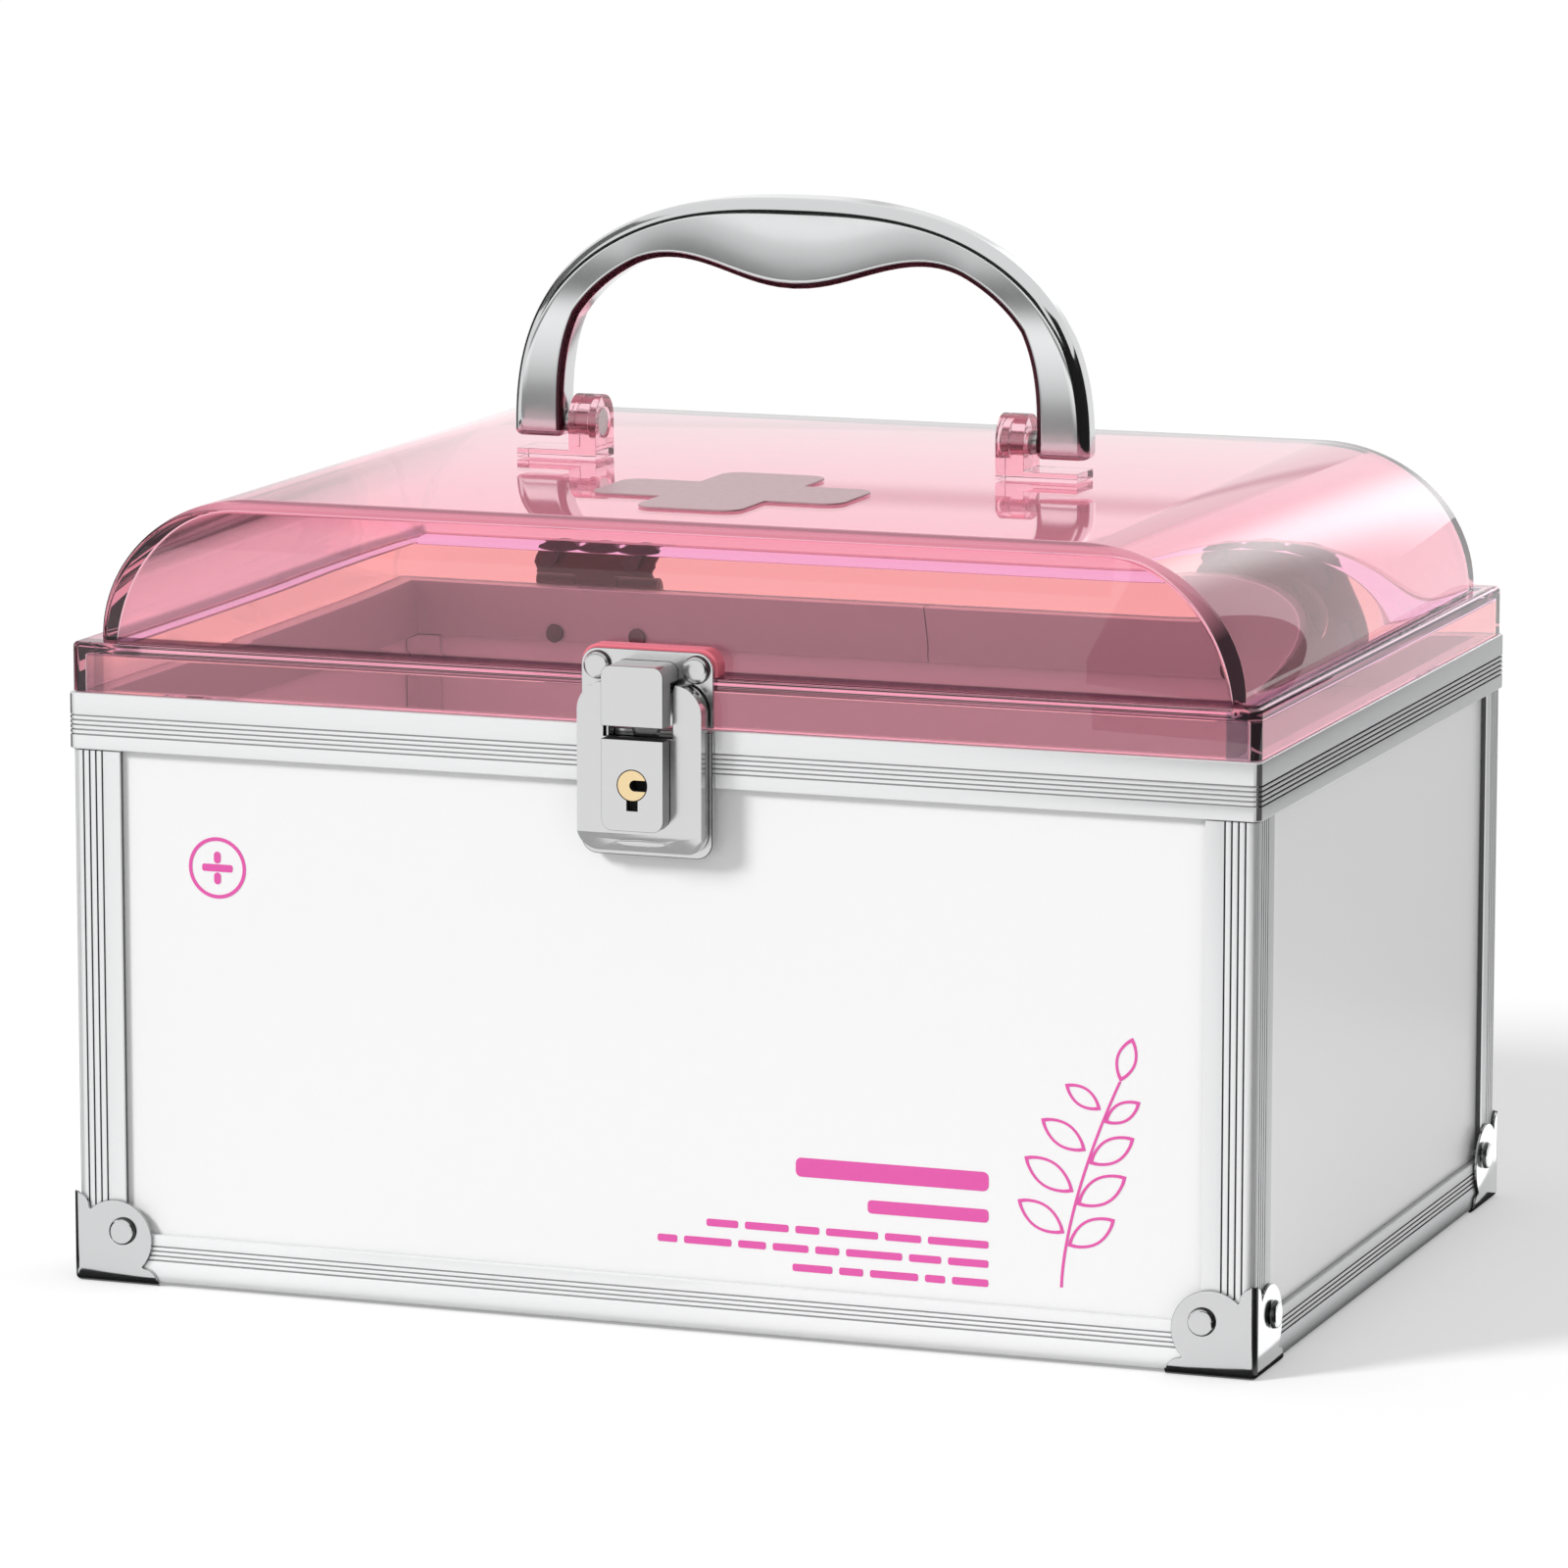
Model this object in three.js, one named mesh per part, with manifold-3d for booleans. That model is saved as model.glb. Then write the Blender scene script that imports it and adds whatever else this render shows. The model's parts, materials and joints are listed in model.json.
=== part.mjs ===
// A small lockable medicine box. White panels slide into grooved aluminium extrusions, a rim
// extrusion runs round the mouth, and a clear pink domed lid is hinged at the back. A chrome bail
// handle swings between two moulded brackets on the lid, and a keyed lever latch closes the front.
// Millimetres, +Z up, +X to the right seen from the front, -Y towards the front. The origin is the
// middle of the floor that the box stands on.
import * as THREE from 'three';
import { mergeVertices } from 'three/addons/utils/BufferGeometryUtils.js';
import { RoundedBoxGeometry } from 'three/addons/geometries/RoundedBoxGeometry.js';
import Module from 'manifold-3d';

const wasm = await Module();
wasm.setup();

// Overall sizes and clearances
const caseWidth = 300;
const caseDepth = 210.2;
const rimTop = 145.1;
const seatGap = 0.3;
const pinGap = 0.15;
const overrun = 1;
const weldTolerance = 1e-4;
const curveSteps = 2;
const fineSteps = 6;
const rimSteps = 3;
const roundSides = 12;
const holeSides = 8;

// Panels and the extrusions that hold them
const panelThickness = 4;
const profileWall = 1.3;
const cornerInset = 0.6;
const postWidth = 12.9;
const postCornerRadius = 2.5;
const railWidth = 11.8;
const grooveWidth = 0.55;
const grooveDepth = 0.45;
const postGrooveStart = 2.65;
const postGroovePitch = 1.65;
const railGrooveStart = 5.2;
const railGroovePitch = 1.15;
const legGrooves = 4;

// Rim round the mouth
const rimHeight = 13.8;
const rimCornerRadius = 2;
const rimInnerRadius = 0.4;
const rimGrooveStart = 5.3;
const rimGroovePitch = 1.15;
const rimGrooves = 5;

// Corner protectors
const protectorReach = 22.3;
const protectorWall = 0.6;
const protectorEdgeRadius = 1.5;
const protectorRivetInset = 13.2;
const protectorSteps = 2;
const notchFarShare = 0.83;
const notchNearShare = 0.19;
const lobeMiddleShare = 0.5;
const lobeRadiusShare = 0.43;

// Rivets
const rivetHeadRadius = 3.4;
const rivetHeadHeight = 1.4;
const rivetShankRadius = 1.5;
const rivetTailRadius = 2.3;
const rivetTailHeight = 0.9;
const smallHeadRadius = 2.3;
const smallHeadHeight = 0.9;
const headRingShares = [[0, 1], [0.6, 0.8], [1, 0.1], [1, 0]];
const headSides = 10;
const smallHeadSides = 8;

// Lid
const flangeInset = 0.6;
const flangeHeight = 11.9;
const flangeCornerRadius = 2.5;
const lidWall = 3;
const domeInset = 5.5;
const lidHeight = 47.6;
const shoulderWidth = 40;
const shoulderHeight = 35;
const domeEdgeRadius = 2;
const domeEdgeSteps = 2;
const lugWidth = 34;
const lugRise = 6.7;
const lugCornerRadius = 4;

// Raised cross on the lid
const crossForward = 49;
const crossLength = 65;
const crossWidth = 64;
const crossArm = 26.5;
const crossThickness = 0.5;
const crossCornerRadius = 5;

// Hinges
const hingeInset = 58;
const leafWidth = 34;
const upperLeafReach = 12;
const lowerLeafReach = 16;
const leafThickness = 1.2;
const knuckleRadius = 2.4;
const hingePinRadius = 1.2;
const knuckleGap = 0.4;
const hingeRivetInset = 5.4;
const hingeRivetRise = 6.8;
const hingeRivetDrop = 11.8;
const lobeDrop = 1.6;
const waistDepth = 2.2;
const waistLowShare = 0.28;
const waistHighShare = 0.45;

// Handle and its brackets
const handleWidth = 149.8;
const handleRise = 57.8;
const handleFootDrop = 3.6;
const handleSpringDrop = 2.2;
const handlePower = 2.6;
const handleEndThickness = 13.3;
const handleShoulderThickness = 8.9;
const handleGripThickness = 22.1;
const handleTaperHeight = 35;
const handleTaperPower = 1.8;
const gripHalfLength = 48;
const handleEndDepth = 9.5;
const handleGripDepth = 15;
const handleSectionPower = 2.7;
const handleSectionSides = 16;
const handleSteps = 17;
const handleEndRound = 1.2;
const pivotLift = 8.9;
const earStandoff = 2.3;
const earThickness = 7.3;
const earDepth = 12.6;
const earCover = 7;
const footReach = 21;
const footThickness = 2.4;
const handlePinHeadRadius = 3.7;
const handlePinHeadLength = 2.2;
const handlePinShoulderRadius = 2.9;
const handlePinSpigotRadius = 2.1;
const handlePinSpigotLength = 8;
const handlePinFace = 0.4;

// Latch plates
const plateThickness = 1.2;
const plateWidth = 33;
const plateCornerRadius = 4;
const baseDrop = 30.6;
const strikeRise = 18.3;
const strikeRivetSpread = 24.8;
const strikeRivetDrop = 4;
const baseRivetSpread = 24;
const baseRivetDrop = 5.4;
const footPadWidth = 8;
const footPadHeight = 4;
const footPadLift = 1.2;

// Strike hood and lip
const hoodWidth = 15.5;
const hoodReach = 11;
const hoodBottom = 1.6;
const hoodTop = 15.9;
const hoodWall = 1.1;
const hoodCornerRadius = 2.4;
const hoodCheekFront = 5.9;
const lipWidth = 7;
const lipRise = 3.1;
const lipThickness = 1.2;
const lipReach = 1;
const tongueDrop = 1.2;
const tongueTaper = 0.8;

// Latch lever
const leverWidth = 31.2;
const leverFace = 6.4;
const leverBack = 1.9;
const leverWall = 0.9;
const leverDrop = 29.2;
const leverCornerRadius = 7;
const leverFootRadius = 4.5;
const leverBevelHeight = 4.6;
const leverBevelDepth = 2.4;
const leverSlotBottom = 1.7;
const fingerNotchWidth = 14;
const fingerNotchHeight = 2.2;
const pivotRise = 9.1;
const pivotOut = 3.6;
const pivotArc = 2.2;
const pivotPinRadius = 0.8;
const earPlateThickness = 0.85;
const earPlateGap = 0.2;
const earPlateRadius = 1.6;
const earPlateDrop = 8;

// Draw claw
const clawWidth = 6.4;
const clawHubRadius = 1.4;
const clawReach = 4.6;
const clawThickness = 1;

// Lock
const housingWidth = 15.5;
const housingTop = 1.5;
const housingHeight = 21.7;
const housingFace = 10.9;
const housingFootRadius = 2.8;
const plugDrop = 12.3;
const plugRadius = 3.6;
const keySlotWidth = 2.6;
const keySlotDepth = 4;
const keyNotchWidth = 2.7;
const keyNotchHeight = 2.4;
const camLength = 8;
const camWidth = 5;
const camThickness = 1.1;
const camOut = 2;
const plugTailRadius = 1.7;
const keeperWidth = 7;
const keeperBite = 1.6;
const keeperThickness = 1;

// Places worked out from the sizes above
const halfWidth = caseWidth / 2;
const halfDepth = caseDepth / 2;
const cornerX = halfWidth - cornerInset;
const cornerY = halfDepth - cornerInset;
const standHeight = protectorWall + seatGap;
const panelSlot = panelThickness + 2 * seatGap;
const slotFar = profileWall + panelSlot;
const profileDepth = slotFar + profileWall;
const panelFace = profileWall + seatGap;
const rimBottom = rimTop - rimHeight;
const rimDepth = cornerInset + profileDepth;
const lidBase = rimTop + seatGap;
const flangeX = halfWidth - flangeInset;
const flangeY = halfDepth - flangeInset;
const ledgeTop = lidBase + flangeHeight;
const domeX = flangeX - domeInset;
const domeY = flangeY - domeInset;
const lidTop = lidBase + lidHeight;
const axisY = halfDepth + seatGap + knuckleRadius;
const hingeX = halfWidth - hingeInset;
const pivotHeight = lidTop + seatGap + pivotLift;
const handleTop = pivotHeight + handleRise;
const handleFoot = pivotHeight - handleFootDrop;
const handleSpring = pivotHeight - handleSpringDrop;
const handleInner = handleWidth / 2 - handleEndThickness;
const bracketInner = handleInner - earStandoff - earThickness;
const plateBack = seatGap;
const plateFront = plateBack + plateThickness;
const strikeBack = seatGap - flangeInset;
const strikeFront = strikeBack + plateThickness;
const pivotZ = rimTop + pivotRise;
const plugZ = rimTop - plugDrop;
const earInner = hoodWidth / 2 + earPlateGap;
const earOuter = earInner + earPlateThickness;
const slotHalf = earOuter + earPlateGap;
const frontReach = halfDepth + housingFace;
const backReach = axisY + knuckleRadius;
const originShift = (frontReach - backReach) / 2;

// Materials
function finish(color, roughness, metalness) {
  return new THREE.MeshStandardMaterial({ color, roughness, metalness });
}

const aluminium = finish(0xdedede, 0.35, 0.9);
const panelWhite = finish(0xf2f2f2, 0.5, 0);
const chrome = finish(0xd8d8d8, 0.12, 1);
const satinChrome = finish(0xd2d2d2, 0.25, 0.9);
const steel = finish(0xa0a0a0, 0.35, 0.9);
const brass = finish(0xf0d49a, 0.3, 0.9);
const pinkClear = finish(0xf58aa5, 0.08, 0);
pinkClear.transparent = true;
pinkClear.opacity = 0.5;
const crossPink = finish(0xcdb0b4, 0.4, 0);

// Solids: a geometry becomes a closed body that can be joined and cut
function solid(geometry) {
  const bare = geometry.clone();
  bare.deleteAttribute('normal');
  bare.deleteAttribute('uv');
  const merged = mergeVertices(bare, weldTolerance);
  const count = merged.attributes.position.count;
  const index = merged.index ? merged.index.array : Array.from({ length: count }, (_, i) => i);
  const mesh = new wasm.Mesh({
    numProp: 3,
    vertProperties: new Float32Array(merged.attributes.position.array),
    triVerts: new Uint32Array(index),
  });
  return new wasm.Manifold(mesh);
}

function joined(solids) {
  return solids.reduce((whole, piece) => whole.add(piece));
}

function cut(body, tools) {
  return tools.reduce((rest, tool) => rest.subtract(tool), body);
}

function geometryOf(body) {
  const mesh = body.getMesh();
  const geometry = new THREE.BufferGeometry();
  geometry.setAttribute('position', new THREE.BufferAttribute(mesh.vertProperties, 3));
  geometry.setIndex(new THREE.BufferAttribute(mesh.triVerts, 1));
  return geometry;
}

// The extrusion axis of a shape, turned to lie along X, Y or Z without rounding
const turns = {
  x: new THREE.Matrix4().set(0, 0, 1, 0, 1, 0, 0, 0, 0, 1, 0, 0, 0, 0, 0, 1),
  y: new THREE.Matrix4().set(1, 0, 0, 0, 0, 0, -1, 0, 0, 1, 0, 0, 0, 0, 0, 1),
  z: new THREE.Matrix4(),
};

// A prism of a shape from one place to another along an axis. Along X the shape is drawn in Y and Z,
// along Y in X and Z, and along Z in X and Y.
function prism(shape, axis, from, to, steps = curveSteps) {
  const options = { depth: to - from, bevelEnabled: false, curveSegments: steps };
  const geometry = new THREE.ExtrudeGeometry(shape, options);
  geometry.applyMatrix4(turns[axis]);
  if (axis === 'x') geometry.translate(from, 0, 0);
  if (axis === 'y') geometry.translate(0, to, 0);
  if (axis === 'z') geometry.translate(0, 0, from);
  return solid(geometry);
}

function block(x0, x1, y0, y1, z0, z1) {
  const geometry = new THREE.BoxGeometry(x1 - x0, y1 - y0, z1 - z0);
  geometry.translate((x0 + x1) / 2, (y0 + y1) / 2, (z0 + z1) / 2);
  return solid(geometry);
}

// A round bar along an axis; an arc is drawn with two sides to each curve step
function disc(radius, axis, from, to, a, b, sides = roundSides) {
  const shape = new THREE.Shape();
  shape.absarc(a, b, radius, 0, 2 * Math.PI);
  return prism(shape, axis, from, to, sides / 2);
}

// A rectangle with its own radius at each corner: low left, low right, high right, high left
function roundedRectangle(x0, x1, y0, y1, radii) {
  const [a, b, c, d] = radii;
  const shape = new THREE.Shape();
  const quarter = Math.PI / 2;
  shape.moveTo(x0 + a, y0);
  shape.lineTo(x1 - b, y0);
  if (b > 0) shape.absarc(x1 - b, y0 + b, b, -quarter, 0);
  shape.lineTo(x1, y1 - c);
  if (c > 0) shape.absarc(x1 - c, y1 - c, c, 0, quarter);
  shape.lineTo(x0 + d, y1);
  if (d > 0) shape.absarc(x0 + d, y1 - d, d, quarter, 2 * quarter);
  shape.lineTo(x0, y0 + a);
  if (a > 0) shape.absarc(x0 + a, y0 + a, a, 2 * quarter, 3 * quarter);
  return shape;
}

function evenRectangle(halfX, halfY, radius) {
  return roundedRectangle(-halfX, halfX, -halfY, halfY, [radius, radius, radius, radius]);
}

function polygon(points) {
  return new THREE.Shape(points.map(([x, y]) => new THREE.Vector2(x, y)));
}

function mirrored(body, signX, signY) {
  const geometry = geometryOf(body);
  geometry.scale(signX, signY, 1);
  if (signX * signY < 0) {
    const index = geometry.index.array;
    for (let i = 0; i < index.length; i += 3) {
      [index[i], index[i + 1]] = [index[i + 1], index[i]];
    }
  }
  return solid(geometry);
}

// Places across the front of the latch are given as distances out from the rim's front face
const out = (distance) => -(halfDepth + distance);

const part = new THREE.Group();
const frame = new THREE.Group();
frame.position.y = originShift;
part.add(frame);

function place(name, body, material) {
  const mesh = new THREE.Mesh(geometryOf(body), material);
  mesh.name = name;
  frame.add(mesh);
}

// Rivets: a domed head outside, a shank through a drilled hole and a formed tail inside. Each one
// is set at a point on the face that its head sits on, and points out along that face.
const facing = {
  front: { axis: 'y', sign: -1 },
  back: { axis: 'y', sign: 1 },
  left: { axis: 'x', sign: -1 },
  right: { axis: 'x', sign: 1 },
};

function rivetBody(rivet) {
  const { headRadius, headHeight, grip, sides } = rivet;
  const outline = headRingShares.map(([across, up]) => [across * headRadius, seatGap + up * headHeight]);
  const tailStart = -(grip + seatGap);
  outline.push(
    [rivetShankRadius, seatGap],
    [rivetShankRadius, tailStart],
    [rivetTailRadius, tailStart],
    [rivetTailRadius, tailStart - rivetTailHeight],
    [0, tailStart - rivetTailHeight],
  );
  const points = outline.reverse().map(([r, h]) => new THREE.Vector2(r, h));
  const geometry = new THREE.LatheGeometry(points, sides);
  const { axis, sign } = facing[rivet.faces];
  if (axis === 'y' && sign < 0) geometry.rotateX(Math.PI);
  if (axis === 'x') geometry.rotateZ(-sign * Math.PI / 2);
  geometry.translate(...rivet.at);
  return solid(geometry);
}

function rivetHole(rivet) {
  const { axis, sign } = facing[rivet.faces];
  const [x, y, z] = rivet.at;
  const radius = rivetShankRadius + seatGap;
  const length = rivet.grip + seatGap + rivetTailHeight;
  const face = axis === 'x' ? x : y;
  const from = sign > 0 ? face - length : face - overrun;
  const to = sign > 0 ? face + overrun : face + length;
  const centre = axis === 'x' ? [y, z] : [x, z];
  return disc(radius, axis, from, to, ...centre, holeSides);
}

function drilled(body, rivets) {
  return cut(body, rivets.map(rivetHole));
}

// Fine V grooves along a face, as points of the distance along it and the depth into it
function grooves(start, pitch, count) {
  const points = [];
  for (let i = 0; i < count; i += 1) {
    const from = start + i * pitch;
    points.push([from, 0], [from + grooveWidth / 2, grooveDepth], [from + grooveWidth, 0]);
  }
  return points;
}

// Corner extrusion: two outer legs, an inner wall behind each, and between them the slots that
// take the panels. Drawn with its outer corner at the origin and its legs along +a and +b.
function cornerProfile(width, cornerRadius, grooveStart, groovePitch, groovesOnB) {
  const run = grooves(grooveStart, groovePitch, legGrooves);
  const shape = polygon([
    [cornerRadius, 0],
    ...run,
    [width, 0],
    [width, profileWall],
    [profileDepth, profileWall],
    [profileDepth, slotFar],
    [width, slotFar],
    [width, profileDepth],
    [profileDepth, profileDepth],
    [profileDepth, width],
    [slotFar, width],
    [slotFar, profileDepth],
    [profileWall, profileDepth],
    [profileWall, width],
    [0, width],
    ...(groovesOnB ? run.map(([along, into]) => [into, along]).reverse() : []),
    [0, cornerRadius],
  ]);
  if (cornerRadius > 0) {
    shape.absarc(cornerRadius, cornerRadius, cornerRadius, Math.PI, Math.PI + Math.PI / 2);
  }
  const port = new THREE.Path();
  port.moveTo(profileWall, profileWall);
  port.lineTo(profileWall, slotFar);
  port.lineTo(slotFar, slotFar);
  port.lineTo(slotFar, profileWall);
  shape.holes.push(port);
  return shape;
}

// Every fastener of the case, so that each piece that one passes through is drilled for it
const protectorFaceX = cornerX + standHeight;
const protectorFaceY = cornerY + standHeight;
const protectorRivets = [];
for (const [signX, sideName] of [[-1, 'left'], [1, 'right']]) {
  for (const [signY, endName] of [[-1, 'front'], [1, 'back']]) {
    const common = {
      headRadius: rivetHeadRadius,
      headHeight: rivetHeadHeight,
      sides: headSides,
      grip: standHeight + profileDepth,
    };
    protectorRivets.push({
      ...common,
      name: `corner_rivet_${endName}_${sideName}`,
      faces: endName,
      at: [signX * (protectorFaceX - protectorRivetInset), signY * protectorFaceY, protectorRivetInset],
    });
    protectorRivets.push({
      ...common,
      name: `corner_rivet_${sideName}_${endName}`,
      faces: sideName,
      at: [signX * protectorFaceX, signY * (protectorFaceY - protectorRivetInset), protectorRivetInset],
    });
  }
}

const lowerLeafFace = halfDepth + seatGap + leafThickness;
const upperLeafFace = flangeY + seatGap + leafThickness;
const lowerHingeRivets = [];
const upperHingeRivets = [];
for (const [side, sideName] of [[-1, 'left'], [1, 'right']]) {
  for (const [end, endName] of [[-1, 'outer'], [1, 'inner']]) {
    const x = side * hingeX - side * end * (leafWidth / 2 - hingeRivetInset);
    const common = {
      headRadius: smallHeadRadius,
      headHeight: smallHeadHeight,
      sides: smallHeadSides,
      faces: 'back',
    };
    lowerHingeRivets.push({
      ...common,
      name: `hinge_rivet_${sideName}_lower_${endName}`,
      at: [x, lowerLeafFace, rimTop - hingeRivetDrop],
      grip: leafThickness + seatGap + rimDepth,
    });
    upperHingeRivets.push({
      ...common,
      name: `hinge_rivet_${sideName}_upper_${endName}`,
      at: [x, upperLeafFace, rimTop + hingeRivetRise],
      grip: leafThickness + seatGap + lidWall,
    });
  }
}

const baseRivets = [];
const strikeRivets = [];
for (const [side, sideName] of [[-1, 'left'], [1, 'right']]) {
  baseRivets.push({
    name: `latch_base_rivet_${sideName}`,
    headRadius: smallHeadRadius,
    headHeight: smallHeadHeight,
    sides: smallHeadSides,
    faces: 'front',
    at: [side * baseRivetSpread / 2, out(plateFront), rimTop - baseRivetDrop],
    grip: plateThickness + seatGap + rimDepth,
  });
  strikeRivets.push({
    name: `strike_rivet_${sideName}`,
    headRadius: rivetHeadRadius,
    headHeight: rivetHeadHeight,
    sides: headSides,
    faces: 'front',
    at: [side * strikeRivetSpread / 2, out(strikeFront), rimTop + strikeRise - strikeRivetDrop],
    grip: plateThickness + seatGap + domeInset + lidWall,
  });
}

// Corner posts
const postHeight = rimBottom - seatGap - standHeight;
const postProfile = cornerProfile(postWidth, postCornerRadius, postGrooveStart, postGroovePitch, true);
const postSolid = prism(postProfile, 'z', standHeight, standHeight + postHeight);
for (const [signX, sideName] of [[-1, 'left'], [1, 'right']]) {
  for (const [signY, endName] of [[-1, 'front'], [1, 'back']]) {
    const post = mirrored(postSolid, -signX, -signY).translate([signX * cornerX, signY * cornerY, 0]);
    place(`corner_post_${endName}_${sideName}`, drilled(post, protectorRivets), aluminium);
  }
}

// Bottom rails between the posts
const railProfile = cornerProfile(railWidth, 0, railGrooveStart, railGroovePitch, false);
const railReachX = cornerX - postWidth - seatGap;
const railReachY = cornerY - postWidth - seatGap;

function rail(axis, sign) {
  const reach = axis === 'x' ? railReachX : railReachY;
  const edge = axis === 'x' ? cornerY : cornerX;
  const geometry = geometryOf(prism(railProfile, 'z', -reach, reach));
  // The grooved leg stands up, and the plain leg lies under the floor panel
  const stand = new THREE.Matrix4();
  if (axis === 'x') stand.set(0, 0, -sign, 0, 0, -sign, 0, sign * edge, 1, 0, 0, standHeight, 0, 0, 0, 1);
  else stand.set(0, -sign, 0, sign * edge, 0, 0, sign, 0, 1, 0, 0, standHeight, 0, 0, 0, 1);
  geometry.applyMatrix4(stand);
  if (stand.determinant() < 0) {
    const index = geometry.index.array;
    for (let i = 0; i < index.length; i += 3) [index[i], index[i + 1]] = [index[i + 1], index[i]];
  }
  return drilled(solid(geometry), protectorRivets);
}

place('bottom_rail_front', rail('x', -1), aluminium);
place('bottom_rail_back', rail('x', 1), aluminium);
place('bottom_rail_left', rail('y', -1), aluminium);
place('bottom_rail_right', rail('y', 1), aluminium);

// Panels: their edges sit in the slots of the posts, the rails and the rim
const panelX = cornerX - profileDepth - seatGap;
const panelY = cornerY - profileDepth - seatGap;
const panelFoot = standHeight + profileDepth + seatGap;
const panelHead = rimTop - profileWall - seatGap;
const faceX = cornerX - panelFace;
const faceY = cornerY - panelFace;
const floorBottom = standHeight + panelFace;

const floorTop = floorBottom + panelThickness;
place('bottom_panel', block(-panelX, panelX, -panelY, panelY, floorBottom, floorTop), panelWhite);

function wallPanel(name, x0, x1, y0, y1, rivets) {
  place(name, drilled(block(x0, x1, y0, y1, panelFoot, panelHead), rivets), panelWhite);
}

const frontHoles = [...protectorRivets, ...baseRivets];
const backHoles = [...protectorRivets, ...lowerHingeRivets];
wallPanel('front_panel', -panelX, panelX, -faceY, -faceY + panelThickness, frontHoles);
wallPanel('back_panel', -panelX, panelX, faceY - panelThickness, faceY, backHoles);
wallPanel('left_panel', -faceX, -faceX + panelThickness, -panelY, panelY, protectorRivets);
wallPanel('right_panel', faceX - panelThickness, faceX, -panelY, panelY, protectorRivets);

// Rim: one extrusion bent round the mouth, with its ends butted at the middle of the back. Its
// section is given as points of the distance in from the outer face and the height.
function rimSection() {
  const run = grooves(rimGrooveStart, rimGroovePitch, rimGrooves);
  return [
    [0, rimBottom],
    ...run.map(([down, into]) => [into, rimTop - down]).reverse(),
    [0, rimTop],
    [rimDepth, rimTop],
    [rimDepth, rimBottom],
    [rimDepth - profileWall, rimBottom],
    [rimDepth - profileWall, rimTop - profileWall],
    [profileWall, rimTop - profileWall],
    [profileWall, rimBottom],
  ];
}

function bentRing(section) {
  const positions = [];
  const quarter = Math.PI / 2;
  for (const [turn, signX, signY] of [[0, 1, 1], [1, -1, 1], [2, -1, -1], [3, 1, -1]]) {
    for (let step = 0; step <= rimSteps; step += 1) {
      const angle = quarter * (turn + step / rimSteps);
      for (const [inset, z] of section) {
        const radius = rimCornerRadius + (rimInnerRadius - rimCornerRadius) * inset / rimDepth;
        const x = signX * (halfWidth - inset - radius) + radius * Math.cos(angle);
        const y = signY * (halfDepth - inset - radius) + radius * Math.sin(angle);
        positions.push(x, y, z);
      }
    }
  }
  const sides = section.length;
  const stations = positions.length / (3 * sides);
  const index = [];
  for (let i = 0; i < stations; i += 1) {
    const here = i * sides;
    const next = ((i + 1) % stations) * sides;
    for (let j = 0; j < sides; j += 1) {
      const k = (j + 1) % sides;
      index.push(here + j, next + j, here + k, next + j, next + k, here + k);
    }
  }
  const geometry = new THREE.BufferGeometry();
  geometry.setAttribute('position', new THREE.Float32BufferAttribute(positions, 3));
  geometry.setIndex(index);
  return solid(geometry);
}

const rimSeam = block(-seatGap / 2, seatGap / 2, halfDepth - rimDepth - overrun, halfDepth + overrun,
  rimBottom - overrun, rimTop + overrun);
const rimBody = bentRing(rimSection()).subtract(rimSeam);
place('top_rim', drilled(rimBody, [...lowerHingeRivets, ...baseRivets]), aluminium);

// Corner protectors: three lobed leaves pressed from one sheet round each bottom corner
function lobedLeaf() {
  const reach = protectorReach;
  const notchFar = notchFarShare * reach;
  const notchNear = notchNearShare * reach;
  const lobeMiddle = lobeMiddleShare * reach;
  const lobeRadius = lobeRadiusShare * reach;
  const open = Math.atan2(notchNear - lobeMiddle, notchFar - lobeMiddle);
  const shape = new THREE.Shape();
  shape.moveTo(0, 0);
  shape.lineTo(reach, 0);
  shape.quadraticCurveTo(reach, notchNear, notchFar, notchNear);
  shape.absarc(lobeMiddle, lobeMiddle, lobeRadius, open, Math.PI / 2 - open);
  shape.lineTo(notchNear, notchFar);
  shape.quadraticCurveTo(notchNear, reach, 0, reach);
  return shape;
}

function cornerBall(inset) {
  const size = 2 * (protectorReach + protectorEdgeRadius - inset);
  const geometry = new RoundedBoxGeometry(size, size, size, protectorSteps, protectorEdgeRadius - inset);
  const middle = size / 2 + inset;
  geometry.translate(middle, middle, middle);
  return solid(geometry);
}

function protectorSolid() {
  const leaf = lobedLeaf();
  const leaves = joined(['x', 'y', 'z'].map((axis) => prism(leaf, axis, -overrun, protectorEdgeRadius)));
  return cornerBall(0).subtract(cornerBall(protectorWall)).intersect(leaves);
}

const protector = protectorSolid();
for (const [signX, sideName] of [[-1, 'left'], [1, 'right']]) {
  for (const [signY, endName] of [[-1, 'front'], [1, 'back']]) {
    const corner = [signX * protectorFaceX, signY * protectorFaceY, 0];
    const cap = mirrored(protector, -signX, -signY).translate(corner);
    place(`corner_protector_${endName}_${sideName}`, drilled(cap, protectorRivets), chrome);
  }
}
for (const rivet of protectorRivets) place(rivet.name, rivetBody(rivet), chrome);

// Lid: a flange that stands on the rim, a ledge, and a dome whose sides are quarter ellipses
function domeProfile(halfX, top, foot, sideWidth, sideHeight) {
  const shape = new THREE.Shape();
  const flat = halfX - sideWidth;
  const spring = top - sideHeight;
  shape.moveTo(-halfX, foot);
  shape.lineTo(halfX, foot);
  shape.lineTo(halfX, spring);
  shape.absellipse(flat, spring, sideWidth, sideHeight, 0, Math.PI / 2);
  shape.absellipse(-flat, spring, sideWidth, sideHeight, Math.PI / 2, Math.PI);
  return shape;
}

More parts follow.
